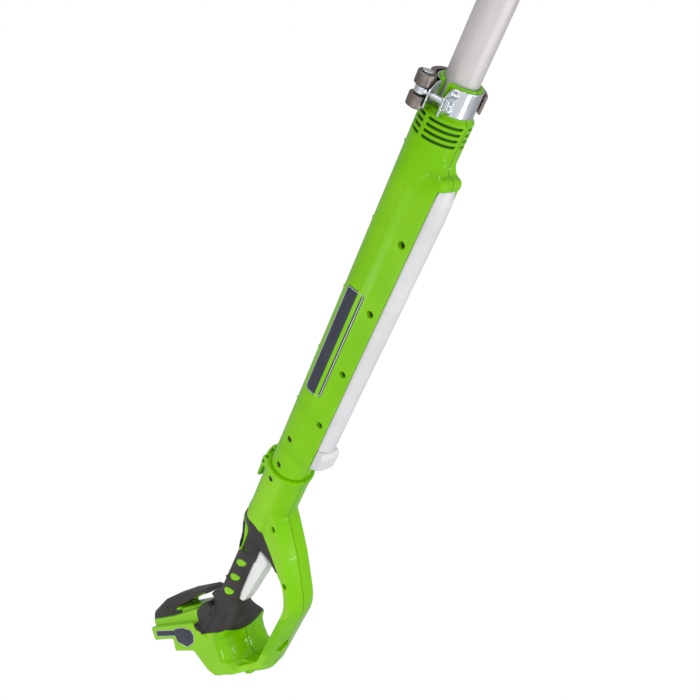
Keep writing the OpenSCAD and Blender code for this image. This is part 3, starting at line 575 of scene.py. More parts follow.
def handle():
    block = Block((-466, -39.5, -101.5), (2, 39.5, 112), 0.8)
    x, y, z = block.x, block.y, block.z
    d, h = dock(x, z)
    solid = block.full(join(grip_core(x, y, z), foot_solid(y, d, h), 5.0))
    solid = join(solid, loop_solid(x, y, z), 2.2)
    plates = prism(outline(d, h, fillet(PLATE, 2)), y, DOCK_HALF, 1.6)
    solid = join(solid, plates, 1.0)
    cut, bx, by, bz = block.part((-420, -39.5, -90), (-200, 39.5, 60))
    solid[cut] = join(solid[cut], belly_solid(block, bx, by, bz), 0.8)
    solid = join(solid, prism(outline(d, h, fillet(DECK, 3)), y, DECK_HALF, 2.0), 1.5)
    solid = join(solid, prism(outline(d, h, fillet(CREST, 3)), y, CREST_HALF, 2.0), 4.0)
    # Shelf around the foot of the belly, out to the loop's end
    cut, bx, by, bz = block.part((-420, -39.5, -101), (-230, 39.5, -20))
    bd, bh = dock(bx, bz)
    rim = outline(bd, by + 0 * bx, fillet([
        (125, 30), (160, 33.5), (197, 30), (214, 23.5), (236, 17.6), (236, -17.6), (214, -23.5),
        (197, -30), (160, -33.5), (125, -30),
    ], 12))
    shelf = prism(rim, bh + 66.5, 4.3, 2.5)
    shelf = meet(shelf, -98.2 - bz + 0 * by, 1.0)
    solid[cut] = join(solid[cut], shelf.astype(np.float32), 3.0)
    bar = block.full(bar_solid(y, d, h))
    gap = outline(d, h, fillet(BAR_GAP, 2))
    bar = less(bar, gap, 4.0)
    solid = join(solid, bar, 3.0)
    for side in (-1, 1):
        ear = box_field(x, y, z, (-28, side * 9.9 - 1.5, 16), (-14.5, side * 9.9 + 1.5, 32.6), 1.4)
        cut = block.part((-40, -20, 10), (0, 20, 40))[0]
        solid[cut] = join(solid[cut], ear[cut], 1.5)
    # Rib below the base
    rib = outline(d, h, [(184, -64), (205, -64), (200, -78), (187, -78)])
    solid = join(solid, prism(rib, y, 17.0, 1.5), 1.5)

    def trough(x, y, z):
        return box_field(x, y, z, (TRIGGER_X1 - 2.5, -8.8, -60), (TRIGGER_X0 + 4.5, 8.8, -2), 1.0)

    def button_window(x, y, z):
        wide = np.maximum(button_zone(x, y, z, 3.0), np.abs(y) - 16.2)
        ends = np.maximum(2 - z, np.abs(x + 134) - 23.1)
        return np.maximum(np.minimum(button_zone(x, y, z, -1.9), wide), ends)

    solid = np.minimum(solid, meet(solid - 0.9, button_zone(x, y, z, 0.0), 0.6))
    shell = less(solid, block.full(gap), 3.0)
    rubber = np.minimum(outline(x, z, fillet(GRIP_RUBBER, 2)) + 0 * y, 1e3)
    # The boot's rubber reaches lower in front than on the flanks
    brow = np.maximum(8.5 * np.minimum(np.abs(y) / 28, 1) ** 2 - 24.5 - h, h + 10)
    brow = np.maximum(brow, np.abs(d - 182) - 34)
    rubber = np.minimum(rubber, brow)
    rim = button_zone(x, y, z, 0.0)
    rubber = np.maximum(np.maximum(rubber, -hexes(x, y, z)), -rim)
    green = np.minimum(shell + CORE_IN, meet(shell, -rubber, 0.5))
    cover = meet(meet(shell - 0.25, rubber + 0.16, 0.8), -(shell + COVER_IN), 0.5)
    # Trough of the trigger, window of the lock button, and the recesses
    for field in (green, cover):
        block.carve(field, (-245, -12, -34), (-132, 12, 2), trough, 1.0)
        block.carve(field, (-162, -18, 1), (-104, 18, 45), button_window, 0.6)
        for at in SCREWS:
            block.carve(
                field, (at[0] - 6, -40, at[1] - 6), (at[0] + 6, at[2] + 2, at[1] + 6),
                lambda x, y, z, at=at: recess(x, y, z, at), 0.9,
            )
        block.carve(field, (-250, -14, -101), (-200, 14, -86), teardrop, 1.0)
    # Battery bay, open to the rear and below
    bay = np.maximum(np.maximum(np.maximum(d - 109, -20 - d), h + 3), np.abs(y) - 34)
    green = less(green, block.full(bay), 0.8)
    # Bore that turns on the coupling sleeve
    block.carve(green, (-64, -22, -22), (2, 22, 22),
                lambda x, y, z: np.maximum(np.hypot(y, z) - 19.95, -60 - x), 0.5)
    # Parting groove along the middle
    for field in (green, cover):
        field += parting(field, y, 0.5)
    # Rubber of the hand bar
    bar_rubber = outline(d, h, fillet(BAR_RUBBER, 2)) + 0 * y
    hold = np.maximum(block.full(bar_rubber), bar - 2.5)
    sleeve = meet(meet(shell - 0.3, hold + 0.15, 1.2), -(shell + COVER_IN), 0.5)
    block.carve(
        sleeve, (-410, -22, 70), (-385, 0, 92), lambda x, y, z: recess(x, y, z, SCREWS[7]), 0.9
    )
    green = np.minimum(meet(green, -hold, 0.5), np.maximum(green, shell + CORE_IN))

    def polish(points, normals):
        px, pz = points[:, 0], points[:, 2]
        pd, ph = dock(px, pz)
        flank = 1 - step(np.abs(normals[:, 1]), 0.72, 0.94)
        shelf = (ph < -57) & (ph > -74) & (pd > 120) & (pd < 238)
        shelf &= (np.abs(normals[:, 1]) < 0.9) & (normals[:, 2] > -0.6)
        dome = (ph < -14) & (ph > -54) & (pd > 172) & (pz < 30)
        flank = np.where(dome, np.maximum(flank, step(pd, 172, 176)), flank)
        return np.where(shelf, 0.2 * flank, flank)

    carved("handle_shell", block, green, GREEN, "handle",
           ("handle_near", "handle_far"), polish)
    carved("grip_sleeve", block, cover, RUBBER, "handle",
           ("grip_cover_near", "grip_cover_far", "loop_inlay_near", "loop_inlay_far"))
    carved("bar_sleeve", block, sleeve, RUBBER, "handle",
           ("bar_cover_near", "bar_cover_far"))


# ---- Controls on the handle ---------------------------------------------------------------------

TRIGGER_SIDE = [
    (-138.8, -9, 0.5), (-138.4, -24, 4), (-141, -31.6, 4), (-148, -30.9, 8), (-181.5, -27.8, 40),
    (-218, -24.8, 20), (-235, -22, 5), (-238.6, -16, 2), (-235, -13, 1), (-155, -8.7, 2),
]


def trigger():
    block = Block((-241, -9.5, -35), (-136, 9.5, -6), 0.45)
    x, y, z = block.x, block.y, block.z
    flat = outline(x, z, fillet(TRIGGER_SIDE, 3))
    field = prism(flat, y, 8.0, 2.6)
    # Rebate along the flanks, and four shallow finger grooves below
    line = ridge(flat + 3.6, 0.45) * (np.abs(y) > 7)
    field = field + 0.45 * line
    for at in (-158, -164, -170, -176):
        field = field + 0.35 * ridge(x - at, 0.9) * (z < -25) * (np.abs(y) < 5.2)
    field = less(field, np.maximum(np.hypot(x + 146, z + 11) - 2.1, np.abs(y) - 12) + 0 * flat, 0.4)
    carved("trigger_lever", block, field, TRIGGER, "trigger", ("trigger",))


def button():
    block = Block((-160, -17, 5), (-107, 17, 32), 0.45)
    x, y, z = block.x, block.y, block.z
    skin = block.full(grip_core(x, y, z))
    zone = np.maximum(button_zone(x, y, z, -2.3), np.abs(y) - 15.8)
    ribs = 0.5 * np.cos((x + 148) * (2 * math.pi / 3.6))
    ribs = ribs * (button_zone(x, y, z, -5.0) < 0) * (x < -120)
    field = meet(skin - 0.7 + ribs, np.maximum(zone, 10.9 - z), 0.9)
    carved("lock_thumb", block, field, BLACK, "lock", ("lock_button",))


def latch():
    block = Block((-51.5, -9, 21), (8, 9, 35.6), 0.4)
    x, y, z = block.x, block.y, block.z
    side = outline(x, z, fillet([
        (-50, 30.6, 1), (-49, 34.2, 1.5), (-30, 34.2, 8), (-8, 32.0, 20), (4, 28.4, 2),
        (6.4, 24.8, 1), (1.2, 23, 0.8), (0.6, 27.8, 1.2), (-14, 28.3), (-30, 29.2),
    ], 3))
    field = prism(side, y, 8.0, 1.4)
    for at in (-43, -40, -37, -34):
        field = field + 0.5 * ridge(x - at, 0.7) * (z > 31.5) * (np.abs(y) < 5.6)
    field = less(field, np.hypot(x + 21, z - 29) - 2.1 + 0 * y, 0.4)
    # Seat of the spring below it
    field = less(field, np.maximum(np.hypot(x + 38, y) - 3.5, z - 31.4), 0.4)
    carved("latch_hook", block, field, GREEN, "latch", ("twist_latch",), glossy)


def badge():
    """A bare plate with a pale edge, where the dock's near flank carries one."""
    block = Block((-436, -38.4, -12), (-318, -35.8, 80), 0.4)
    x, y, z = block.x, block.y, block.z
    d, h = dock(x, z)
    side = outline(d, h, fillet([
        (13, -4.8), (73, -6.4), (77, -4.6), (102, -4.4), (124, -9.2), (126.6, -17), (119.7, -26),
        (97, -31.4), (73, -23.6), (70, -14.8), (13, -13.4),
    ], 0.7))
    plate = np.maximum(side + 0.7, np.abs(y + DOCK_HALF) - 0.55)
    edge = np.maximum(np.maximum(side, -side - 0.75), np.abs(y + DOCK_HALF) - 0.7)
    carved("badge_plate", block, plate, LABEL, "handle", ("dock_badge",))
    carved("badge_edge", block, edge, LABEL_EDGE, "handle")


# ---- Housing ------------------------------------------------------------------------------------

HOUSE_R, HOUSE_IN, COLLAR_R, BORE_R = 22.4, 19.9, 17.7, 14.3
HOUSE_X1, RIM_X = 420.0, 443.9
KEEL = [(-21.43, -6.51, 0), (-14, -31, 2.2), (14, -31, 2.2), (21.43, -6.51, 0)]
KEEL_X = (34.0, 374.0)
HOUSE_SCREWS = (92, 162, 236, 311)
VENTS = (400, 405, 410, 415)
AROUND = 0.39  # millimetres to a degree on the housing's back


def turned(y, z):
    """The angle around the shaft, from straight down."""
    return np.degrees(np.arctan2(np.abs(y), -z))


def glossy(points, normals):
    return np.ones(len(points))


def house_solid(x, y, z):
    """The housing's round back, with the keel below it."""
    round_back = np.maximum(np.hypot(y, z) - HOUSE_R, -x)
    keel = outline(y, z, fillet(KEEL, 2)) + 0.42 * np.maximum(x - 364, 0)
    keel = meet(keel, np.maximum(KEEL_X[0] - x, x - 396) + 0 * y, 1.5)
    solid = join(round_back + 0 * z, keel, 2.2)
    # Hood that wraps the rail's upper end
    hood = box_field(x, y, z, (364.5, -13.0, -34.2), (377.6, 13.0, -6), 5.6)
    hood = meet(hood, 367 - x + 0 * y, 1.2)
    solid = join(solid, hood, 3.0)
    return meet(solid, x - HOUSE_X1 + 0 * y, 4.5)


def housing():
    block = Block((-1.5, -25.5, -36), (445.5, 25.5, 25.5), 0.62)
    x, y, z = block.x, block.y, block.z
    solid = block.full(house_solid(x, y, z))
    turn = turned(y, z)
    # Low raised edge on each flank, and the snaps of the two halves
    arc = np.radians(turn) * HOUSE_R
    panel = np.hypot(
        np.maximum(np.abs(x - 353) - 0.2, 0), np.maximum(np.abs(turn - 101) - 19, 0) * AROUND
    )
    solid -= 0.8 * ridge(panel, 0.9)
    for at in HOUSE_SCREWS + (384,):
        bump = np.hypot(x - at, (turn - 146) * AROUND)
        solid -= 1.0 * np.clip(1.6 - bump, 0, 0.8)
    # Small generic marks of the mould
    for at, across in ((382, 98), (387, 84), (377, 88)):
        mark = np.maximum(np.abs(x - at) - 1.5, np.abs(arc - math.radians(across) * HOUSE_R) - 1.5)
        ring = np.abs(mark) - 0.35
        solid -= 0.35 * np.clip(1 - np.maximum(ring, 0) / 0.5, 0, 1)
    # Short groove on each flank, near the coupling
    solid = solid + 1.1 * ridge(x - 33, 1.1) * (turn > 79) * (turn < 126)
    # Collar, its split and relief slots
    bar = np.hypot(y, z)
    collar = meet(bar - COLLAR_R, np.maximum(415 - x, x - RIM_X) + 0 * y, 1.4)
    flange = np.maximum(bar - COLLAR_R - 1.1, np.maximum(415 - x, x - 421.6) + 0 * y)
    inside = np.maximum(np.maximum(bar - HOUSE_IN, x - 417.5), -3 - x)
    hollow = np.maximum(np.maximum(np.abs(y) - 9, np.abs(z + 14) - 14), np.maximum(37 - x, x - 365))
    shell = less(less(solid, inside + 0 * z, 0.8), block.full(hollow), 0.5)
    shell = join(shell, join(collar, flange, 1.0), 2.0)
    shell = less(shell, block.full(np.maximum(bar - BORE_R, 400 - x)), 0.8)
    for i, angle in enumerate((90, 210, 330)):
        out = (-math.sin(math.radians(angle)), -math.cos(math.radians(angle)))
        reach, side = y * out[0] + z * out[1], y * out[1] - z * out[0]
        half = 3.2 if i == 0 else 1.0
        slot = np.maximum(np.maximum(np.abs(side) - half, 11 - reach), 422.2 - x)
        shell = less(shell, block.full(slot), 0.9)
    # Upright lips beside the split
    for side in (-1, 1):
        at = side * 4.4
        lip = box_field(x, y, z, (423, -19.4, at - 1.1), (RIM_X, -15, at + 1.1), 0.9)
        cut = block.part((418, -25, -10), (446, -10, 10))[0]
        shell[cut] = join(shell[cut], lip[cut], 1.2)
    # Cooling slots
    cut, vx, vy, vz = block.part((396, -26, -26), (419.5, 26, 26))
    vent_turn = turned(vy, vz)
    for at in VENTS:
        for lo, hi in ((7, 88), (97, 134)):
            u = np.abs(vx - at) - 1.1
            v = (np.abs(vent_turn - (lo + hi) / 2) - (hi - lo) / 2) * AROUND
            slot = np.hypot(np.maximum(u + 1.1, 0), np.maximum(v + 1.1, 0)) - 1.1
            slot = np.maximum(slot, 17 - np.hypot(vy, vz))
            shell[cut] = less(shell[cut], slot.astype(np.float32), 0.9)
    # Groove of the rail, and its pocket in the hood
    groove = np.maximum(
        np.maximum(np.abs(y) - 12.0, -40 - z), np.maximum(z + 29.8, np.maximum(30 - x, x - 367))
    )
    shell = less(shell, block.full(groove), 0.5)
    for at in HOUSE_SCREWS:
        block.carve(shell, (at - 6, -26, -30), (at + 6, -9, -14),
                    lambda x, y, z, at=at: recess(x, y, z, (at, -22.6, -10.6)), 1.0)
    for at in (10, 50):
        block.carve(shell, (at - 6, -26, -7), (at + 6, -14, 7),
                    lambda x, y, z, at=at: recess(x, y, z, (at, 0, -18.9)), 1.0)
    # Parting groove along the top
    shell += parting(shell, y, 0.45) * (x < 421)

    def polish(points, normals):
        return 0.72 + 0.28 * step(points[:, 0], 355, 366)

    carved("housing_shell", block, shell, GREEN, "housing",
           ("housing_near", "housing_far"), polish)


def label():
    """A bare slate plate with a thin pale border, wrapped on the housing."""
    block = Block((117, -25, -24), (253, -9, 11), 0.42)
    x, y, z = block.x, block.y, block.z
    skin = block.full(np.minimum(np.hypot(y, z) - HOUSE_R, outline(y, z, fillet(KEEL, 2))))
    v = (turned(y, z) - 83.7) * 0.4
    lean = x - 185 + 0.11 * v
    flat = corner(np.abs(lean) - 64.6 + 5, np.abs(v) - 10.9 + 5, 5)
    plate = np.maximum(np.maximum(skin - 0.42, -(skin + 0.7)), flat)
    edge = np.maximum(np.maximum(skin - 0.56, -(skin + 0.5)), np.maximum(flat + 0.7, -flat - 1.8))
    carved("label_face", block, plate, LABEL, "housing", ("label_plate",))
    carved("label_line", block, edge, LABEL_EDGE, "housing")


def rail():
    block = Block((30, -13, -45), (375, 13, -28), 0.6)
    x, y, z = block.x, block.y, block.z
    low = along(x, [340, 356, 366, 374], [38.4, 37.6, 35.4, 32.6])
    nose = np.hypot(y, z + (low - 13.4)) - 13.4
    body = meet(meet(nose, np.abs(y) - 11.8, 1.5), z + 30.05 + 0 * y, 0.5)
    strip = meet(body, np.maximum(61.2 - x, x - 368.2) + 0 * y, 0.8)
    # Shallow line along each flank
    strip = strip + 0.3 * ridge(z + 31.6, 0.5) * (np.abs(y) > 11) * (x < 366)
    carved("rail_strip", block, strip, RAIL, "housing", ("slide_rail",))
    foot = outline(x, z, fillet([
        (33, -30, 0.3), (33.4, -32.5, 2), (41, -43.8, 4), (56, -42.6, 5), (61, -38.4, 2),
        (61, -30, 0.3),
    ], 2))
    stop = meet(prism(foot, y, 11.9, 1.8), np.hypot(y, z + 26) - 18.6 + 0 * x, 2.0)
    for at in (44.5, 48.5, 52.5):
        stop = stop + 0.5 * ridge(x - at, 0.6) * (z < -40) * (np.abs(y) < 8)
    carved("rail_foot", block, stop, RAIL, "housing", ("rail_stop",))


# ---- Clamp --------------------------------------------------------------------------------------

CLAMP_COS, CLAMP_SIN = math.cos(math.radians(106)), math.sin(math.radians(106))
CLAMP_X = 432
PIN_Y, PIN_Z = -17.5, 26.0


def from_clamp(points):
    """The clamp's own frame: z points out between the ears, y from the lever's pin to the nut."""
    px, py, pz = points[:, 0], points[:, 1], points[:, 2]
    return np.column_stack(
        [px + CLAMP_X, -py * CLAMP_COS - pz * CLAMP_SIN, -py * CLAMP_SIN + pz * CLAMP_COS]
    )


def clamp():
    block = Block((-11.5, -20.5, -20.5), (11.5, 20.5, 32.5), 0.34)
    x, y, z = block.x, block.y, block.z
    bar = np.hypot(y, z)
    ring = meet(np.abs(bar - 18.5) - 0.75, -np.maximum(np.abs(y + 2.25) - 6.4, -z), 0.3)
    # Ears with their outer corner swept away, and pressed gussets at their roots
    side = outline(x, z, fillet([
        (-10.5, 14, 0), (-10.5, 31.2, 1.2), (3.5, 31.2, 4), (8.5, 25.5, 5), (10.5, 18, 4),
        (10.5, 14, 0),
    ], 3))
    for at in (-8.75, 4.25):
        ear = meet(side, np.abs(y - at) - 0.75, 0.35)
        ring = join(ring, ear, 1.2)
        out = math.copysign(1.6, at)
        for place in (-6.6, 6.0):
            dent = np.sqrt((x - place) ** 2 + (y - at - out) ** 2 + (z - 18.2) ** 2) - 2.7
            ring = join(ring, dent, 1.0)
    ring = meet(ring, np.abs(x) - 10.45, 0.5)
    ring = less(ring, np.maximum(np.hypot(x, z - 26) - 2.8, np.abs(y) - 30), 0.4)
    ring = np.maximum(ring, 17.7 - bar)
    carved("clamp_strap", block, ring, ZINC, "housing", ("clamp_band",),
           place=from_clamp)

    block = Block((-6, -24, 19.5), (6, 11, 32), 0.3)
    x, y, z = block.x, block.y, block.z
    thread = 0.16 * np.cos(y * (2 * math.pi / 1.0)) * (y > 1)
    shank = np.maximum(np.maximum(np.hypot(x, z - PIN_Z) - 2.42 + thread, y - 9.6), PIN_Y - y)
    eye = prism(np.hypot(y - PIN_Y, z - PIN_Z) - 5, x, 3, 0.7)
    bolt = less(join(shank, eye, 1.6), np.hypot(y - PIN_Y, z - PIN_Z) - 2.1 + 0 * x, 0.4)
    bolt = less(bolt, np.maximum(np.hypot(x, z - PIN_Z) - 1.3, 8.6 - y), 0.4)
    carved("clamp_bolt", block, bolt, ZINC, "housing", ("eye_bolt",),
           place=from_clamp)

    nut = prism(
        np.maximum(np.abs(x), np.abs(z - PIN_Z)) - 4.5 + 0 * y, y - 7.1, 2.0, 0.6
    )
    nut = meet(nut, np.hypot(x, z - PIN_Z) + 0.6 * (y - 9.1) - 5.2, 0.5)
    nut = less(nut, np.hypot(x, z - PIN_Z) - 2.5 + 0 * y, 0.4)
    carved("clamp_square_nut", block, nut, ZINC, "housing", ("clamp_nut",),
           place=from_clamp)


def lever():
    block = Block((-14.5, -27.5, -27.5), (14.5, 27.5, 35), 0.45)
    x, y, z = block.x, block.y, block.z
    start = math.atan2(-PIN_Y, PIN_Z)
    cy, cz = 0.8 * math.sin(start), -0.8 * math.cos(start)
    reach = np.hypot(y - cy, z - cz)
    turn = np.degrees(np.arctan2(-(y - cy), z - cz)) % 360 - math.degrees(start)
    ends = np.maximum(-turn, turn - 208) * 0.43
    half = along(turn, [0, 40, 150, 208], [11.6, 11.2, 9.6, 7.6])
    mid = along(turn, [0, 110, 208], [24.5, 24.0, 21.4])
    flat = np.maximum(np.abs(reach - mid) - 1.3, ends) + 0 * x
    sheet = prism(flat, np.abs(x) + 11.6 - half, 11.6, 1.2)
    rims = np.maximum(
        np.maximum(np.abs(reach - 23.6) - 2.0, np.maximum(-turn, turn - 120) * 0.43 + 1),
        np.abs(np.abs(x) - half + 1.2) - 1.1,
    )
    arm = join(sheet, rims, 1.2)
    cams = prism(np.hypot(y - PIN_Y, z - PIN_Z) - 7.5, np.abs(x) - 8.5, 5.0, 1.0)
    whole = join(arm, cams, 3.0)
    pin_reach = np.hypot(y - PIN_Y, z - PIN_Z)
    whole = less(whole, np.maximum(pin_reach - 6.3, np.abs(x) - 3.5), 0.5)
    whole = less(whole, np.maximum(pin_reach - 5.3, 12.7 - np.abs(x)), 0.5)
    whole = np.maximum(whole, 20.1 - np.hypot(y, z))
    carved("clamp_handle", block, whole, LEVER, "lever", ("clamp_lever",),
           place=from_clamp)

    block = Block((-16.2, -23, 20.5), (16.2, -12, 31.5), 0.34)
    x, y, z = block.x, block.y, block.z
    bar = np.hypot(y - PIN_Y, z - PIN_Z)
    dome = np.maximum(np.abs(x) - 15.4 + 0.05 * bar * bar, 13.7 - np.abs(x))
    pin = np.minimum(np.maximum(bar - 2, np.abs(x) - 14), meet(dome, bar - 4.6, 0.8))
    pin = pin + 0.3 * ridge(bar - 2.4, 0.5) * (np.abs(x) > 14)
    carved("clamp_pin", block, pin, ZINC, "housing", ("lever_pin",), place=from_clamp)


def lathe(name, profile, material, body, replaced, sides, sharp=30):
    """Turns a closed profile of (x, radius) points around the shaft's axis."""
    turns = np.arange(sides) * 2 * math.pi / sides
    rings = np.array(
        [[(px, -r * math.sin(a), -r * math.cos(a)) for a in turns] for px, r in profile]
    )
    count = len(profile)
    grid = np.arange(count * sides).reshape(count, sides)
    nxt, side = np.roll(grid, -1, 0), np.roll(grid, -1, 1)
    quads = np.stack([grid, nxt, np.roll(nxt, -1, 1), side], -1).reshape(-1, 4)
    mesh = as_mesh(name, in_row(rings.reshape(-1, 3)), quads)
    bm = bmesh.new()
    bm.from_mesh(mesh)
    bmesh.ops.recalc_face_normals(bm, faces=bm.faces)
    bm.to_mesh(mesh)
    bm.free()
    return settle(name, mesh, material, body, replaced, sharp)


def tube():
    lo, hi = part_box("tube")
    x0, x1 = ((c.x - ORIGIN.x) / MM for c in (lo, hi))
    lathe("shaft_tube", [
        (x0, 12.9), (x0, 13.9), (x0 + 0.2, 14), (x1 - 0.2, 14), (x1, 13.8), (x1, 12.8),
    ], TUBE, "tube", ("tube",), sides=128)


# ---- Head ---------------------------------------------------------------------------------------

HEAD_COS, HEAD_SIN = math.cos(math.radians(35)), math.sin(math.radians(35))
HEAD_AXIS = Vector((-HEAD_SIN, 0, HEAD_COS))


def middle(node):
    """A node's middle in the shaft's frame, in millimetres."""
    lo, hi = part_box(node)
    return ((Vector(lo) + Vector(hi)) / 2 - ORIGIN) / MM


BEARING_UP = 4.25  # from the guard's plate to the bearing's middle
HUB = middle("shaft_bearing") - HEAD_AXIS * BEARING_UP


def from_head(points):
    """The head's own frame: z runs up the motor's axis from the guard, y to the near side."""
    px, py, pz = points[:, 0], points[:, 1], points[:, 2]
    return np.column_stack(
        [HUB.x + HEAD_COS * px - HEAD_SIN * pz, -py, HUB.z + HEAD_SIN * px + HEAD_COS * pz]
    )


def head():
    block = Block((-92, -36, 0), (36, 36, 92), 0.62)
    x, y, z = block.x, block.y, block.z
    reach = np.hypot(x, y)
    tube_end = (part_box("tube")[1].x - ORIGIN.x) / MM
    past = HEAD_COS * x - HEAD_SIN * z + HUB.x - tube_end
    rise = HEAD_SIN * x + HEAD_COS * z + HUB.z
    bell = outline(reach, z, fillet([
        (-40, 3, 0), (33, 3, 0.8), (33, 50, 9), (21, 65, 7), (-40, 65, 0),
    ], 2))
    around = np.hypot(y, rise)
    socket = meet(around - 17.5, np.maximum(-46 - past, past - 26), 1.6)
    solid = np.maximum(join(bell, socket, 8.0), 3 - z)
    # Raised bands around the foot and the socket's mouth
    solid -= 0.7 * ridge(z - 10, 1.3) * (reach > 30)
    solid -= 0.6 * ridge(past + 42.5, 1.6) * (past < -36)
    shell = less(solid, block.full(bell + 2.5), 0.5)
    shell = less(shell, np.maximum(around - 14, past), 0.6)
    shell = less(shell, block.full(np.maximum(reach - 8, z - 20)), 0.4)
    turn = np.degrees(np.arctan2(np.abs(y), x))
    for at in (24, 29.5, 35, 40.5):
        slot = np.hypot(z - at, np.maximum((np.abs(turn - 66) - 30) * 0.56, 0)) - 1.2
        shell = less(shell, np.maximum(slot, 28 - reach), 0.8)
    shell = less(shell, np.maximum(np.hypot(past + 34, np.abs(rise) - 14.2) - 3.3, 9 - y), 0.6)
    shell += parting(shell, y, 0.45)
    carved("head_shell", block, shell, GREEN, "tube",
           ("head_near", "head_far"), glossy, from_head)


def spool():
    mid = HEAD_AXIS.dot(middle("spool_housing") - HUB)
    block = Block((-37.5, -37.5, mid - 15), (37.5, 37.5, mid + 15), 0.5)
    x, y, z = block.x, block.y, block.z - mid
    reach = np.hypot(x, y)
    cup = outline(reach, z, fillet([
        (-40, -14, 0), (36, -14, 2), (36, 9, 3), (33, 14, 1.5), (-40, 14, 0),
    ], 2))
    grooves = 0.9 * np.clip(np.cos(np.arctan2(y, x) * 20), 0, 1) * step(9.5 - np.abs(z + 2.5), 0, 3)
    cup = cup + grooves * (reach > 31)
    cup = less(cup, np.maximum(reach - 32.6, z - 12), 0.5)
    cup = less(cup, np.maximum(np.hypot(x, z) - 3, 20 - np.abs(y)), 0.5)
    carved("spool_cup", block, cup, BLACK, "spool", ("spool_housing",),
           place=from_head)


handle()
trigger()
button()
latch()
badge()
housing()
label()
rail()
clamp()
lever()
tube()
head()
spool()


# ---- Finishes of the CAD pieces that stay -------------------------------------------------------

FINISH = {
    "shell_green": GREEN, "grip_rubber": RUBBER, "black_plastic": BLACK, "rail_white": RAIL,
    "trigger_white": TRIGGER, "label": LABEL, "zinc_steel": ZINC, "steel": STEEL,
    "lever_grey": LEVER, "tube_silver": TUBE, "motor_can": CAN, "board_green": BOARD,
    "line_orange": LINE,
}


def dress_nodes():
    slots = {part["node"]: part["material_slot"] for part in frame["record"]["subparts"]}
    special = dict.fromkeys(("housing_screws", "handle_screws", "head_screws"), SCREW)
    # The tube guide shows through the cooling slots, so it carries the housing's painted inner
    # shade
    special["tube_guide"] = PAINTED_SHADE
    for name, obj in frame["nodes"].items():
        finish = FINISH.get(slots.get(name), BLACK)
        obj.data.materials.clear()
        obj.data.materials.append(special.get(name, finish))


# ---- Stage --------------------------------------------------------------------------------------


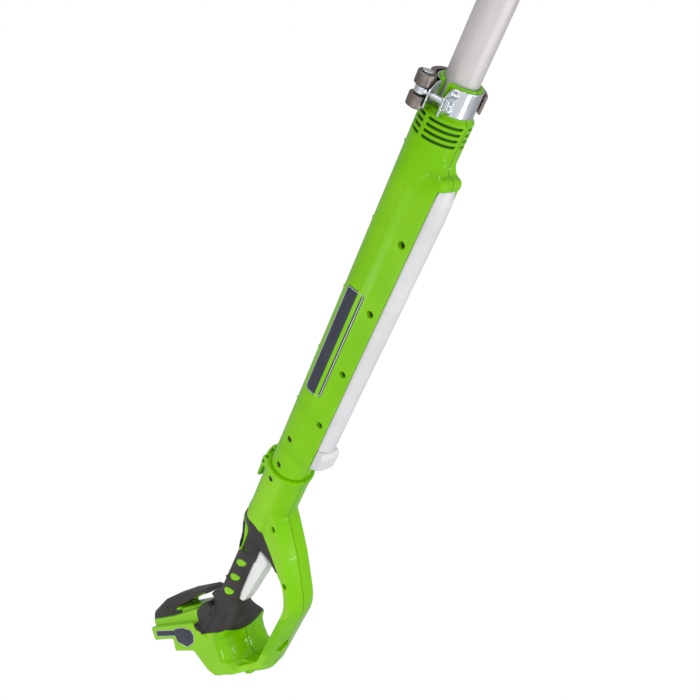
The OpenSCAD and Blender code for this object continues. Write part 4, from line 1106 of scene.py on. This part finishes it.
def stage():
    scene = bpy.context.scene
    camera = bpy.data.cameras.new("camera")
    camera.lens, camera.sensor_width = 41.14, 36.0
    camera.clip_start, camera.clip_end = 0.01, 50
    view = bpy.data.objects.new("camera", camera)
    right, up, ahead = (
        Vector(v).normalized()
        for v in ((0.3294, 0.729, -0.6), (0.7299, 0.206, 0.652), (-0.5989, 0.653, 0.464))
    )
    turn = Matrix((right, up, -ahead)).transposed().to_4x4()
    view.matrix_world = Matrix.Translation((0.4758, -0.4918, -0.2578)) @ turn
    scene.collection.objects.link(view)
    scene.camera = view

    world = bpy.data.worlds.new("studio")
    scene.world = world
    world.use_nodes = True
    nodes, links = world.node_tree.nodes, world.node_tree.links
    back = nodes["Background"]
    back.inputs["Color"].default_value = (1, 1, 1, 1)
    facing = nodes.new("ShaderNodeTexCoord").outputs["Generated"]
    lean = nodes.new("ShaderNodeVectorMath")
    lean.operation = "DOT_PRODUCT"
    links.new(facing, lean.inputs[0])
    lean.inputs[1].default_value = (0.55, -0.45, -0.7)
    glow = nodes.new("ShaderNodeMapRange")
    glow.interpolation_type = "SMOOTHSTEP"
    links.new(lean.outputs["Value"], glow.inputs["Value"])
    limits = {"From Min": -0.4, "From Max": 0.9, "To Min": 0.44, "To Max": 0.91}
    for key, value in limits.items():
        glow.inputs[key].default_value = value
    links.new(glow.outputs[0], back.inputs["Strength"])
    white = nodes.new("ShaderNodeBackground")
    white.inputs["Color"].default_value = (1, 1, 1, 1)
    white.inputs["Strength"].default_value = 1.0
    path = nodes.new("ShaderNodeLightPath")
    mixed = nodes.new("ShaderNodeMixShader")
    links.new(path.outputs["Is Camera Ray"], mixed.inputs[0])
    links.new(back.outputs[0], mixed.inputs[1])
    links.new(white.outputs[0], mixed.inputs[2])
    links.new(mixed.outputs[0], nodes["World Output"].inputs["Surface"])
    scene.view_settings.view_transform = "Standard"

    # Pale floor, seen from above only; it neither lights nor shades the trimmer
    mesh = bpy.data.meshes.new("floor")
    corners = [(-2.5, -2.5, 0), (2.5, -2.5, 0), (2.5, 2.5, 0), (-2.5, 2.5, 0)]
    mesh.from_pydata(corners, [], [(0, 1, 2, 3)])
    floor = bpy.data.objects.new("floor", mesh)
    scene.collection.objects.link(floor)
    pale = Shader("floor_pale")
    cloud = pale.ramp(pale.noise(6.0), 0.3, 0.7)
    tint = pale.mix(cloud, (0.8, 0.8, 0.79, 1), (0.83, 0.83, 0.82, 1))
    pale.set(Base_Color=tint, Roughness=0.7, Specular_IOR_Level=0.2)
    clear = pale.node("ShaderNodeBsdfTransparent")
    under = pale.node("ShaderNodeNewGeometry").outputs["Backfacing"]
    sides = pale.node("ShaderNodeMixShader", {0: under})
    pale.links.new(pale.base.outputs[0], sides.inputs[1])
    pale.links.new(clear.outputs[0], sides.inputs[2])
    pale.links.new(sides.outputs[0], pale.nodes["Material Output"].inputs["Surface"])
    mesh.materials.append(pale.material)
    floor.visible_diffuse = floor.visible_glossy = floor.visible_shadow = False

    # Softboxes: wide ones for the light, and small ones that glint in the polished faces
    target = Vector((-0.35, 0, 0.07))
    for name, place, size, power, glint in (
        ("key", (1.0, -0.7, -0.5), 0.6, 1.5, False),
        ("side", (-0.6, -1.2, 0.6), 0.6, 4.5, False),
        ("glint_a", (0.05, 0.09, -0.69), 0.06, 1.0, True),
        ("glint_b", (0.24, 0.31, -0.45), 0.06, 1.0, True),
        ("glint_c", (-0.44, -0.93, -0.05), 0.06, 0.7, True),
        ("glint_d", (0.55, -0.4, -0.6), 0.06, 0.7, True),
        ("glint_e", (0.1, -0.85, -0.55), 0.06, 0.7, True),
        ("glint_f", (0.93, -0.51, 0.34), 0.06, 0.7, True),
    ):
        lamp = bpy.data.lights.new(name, "AREA")
        lamp.shape, lamp.size, lamp.energy = "SQUARE", size, power
        obj = bpy.data.objects.new(name, lamp)
        obj.location = place
        obj.rotation_euler = (target - Vector(place)).to_track_quat("-Z", "Y").to_euler()
        obj.visible_glossy, obj.visible_camera = glint, False
        scene.collection.objects.link(obj)


dress_nodes()
stage()
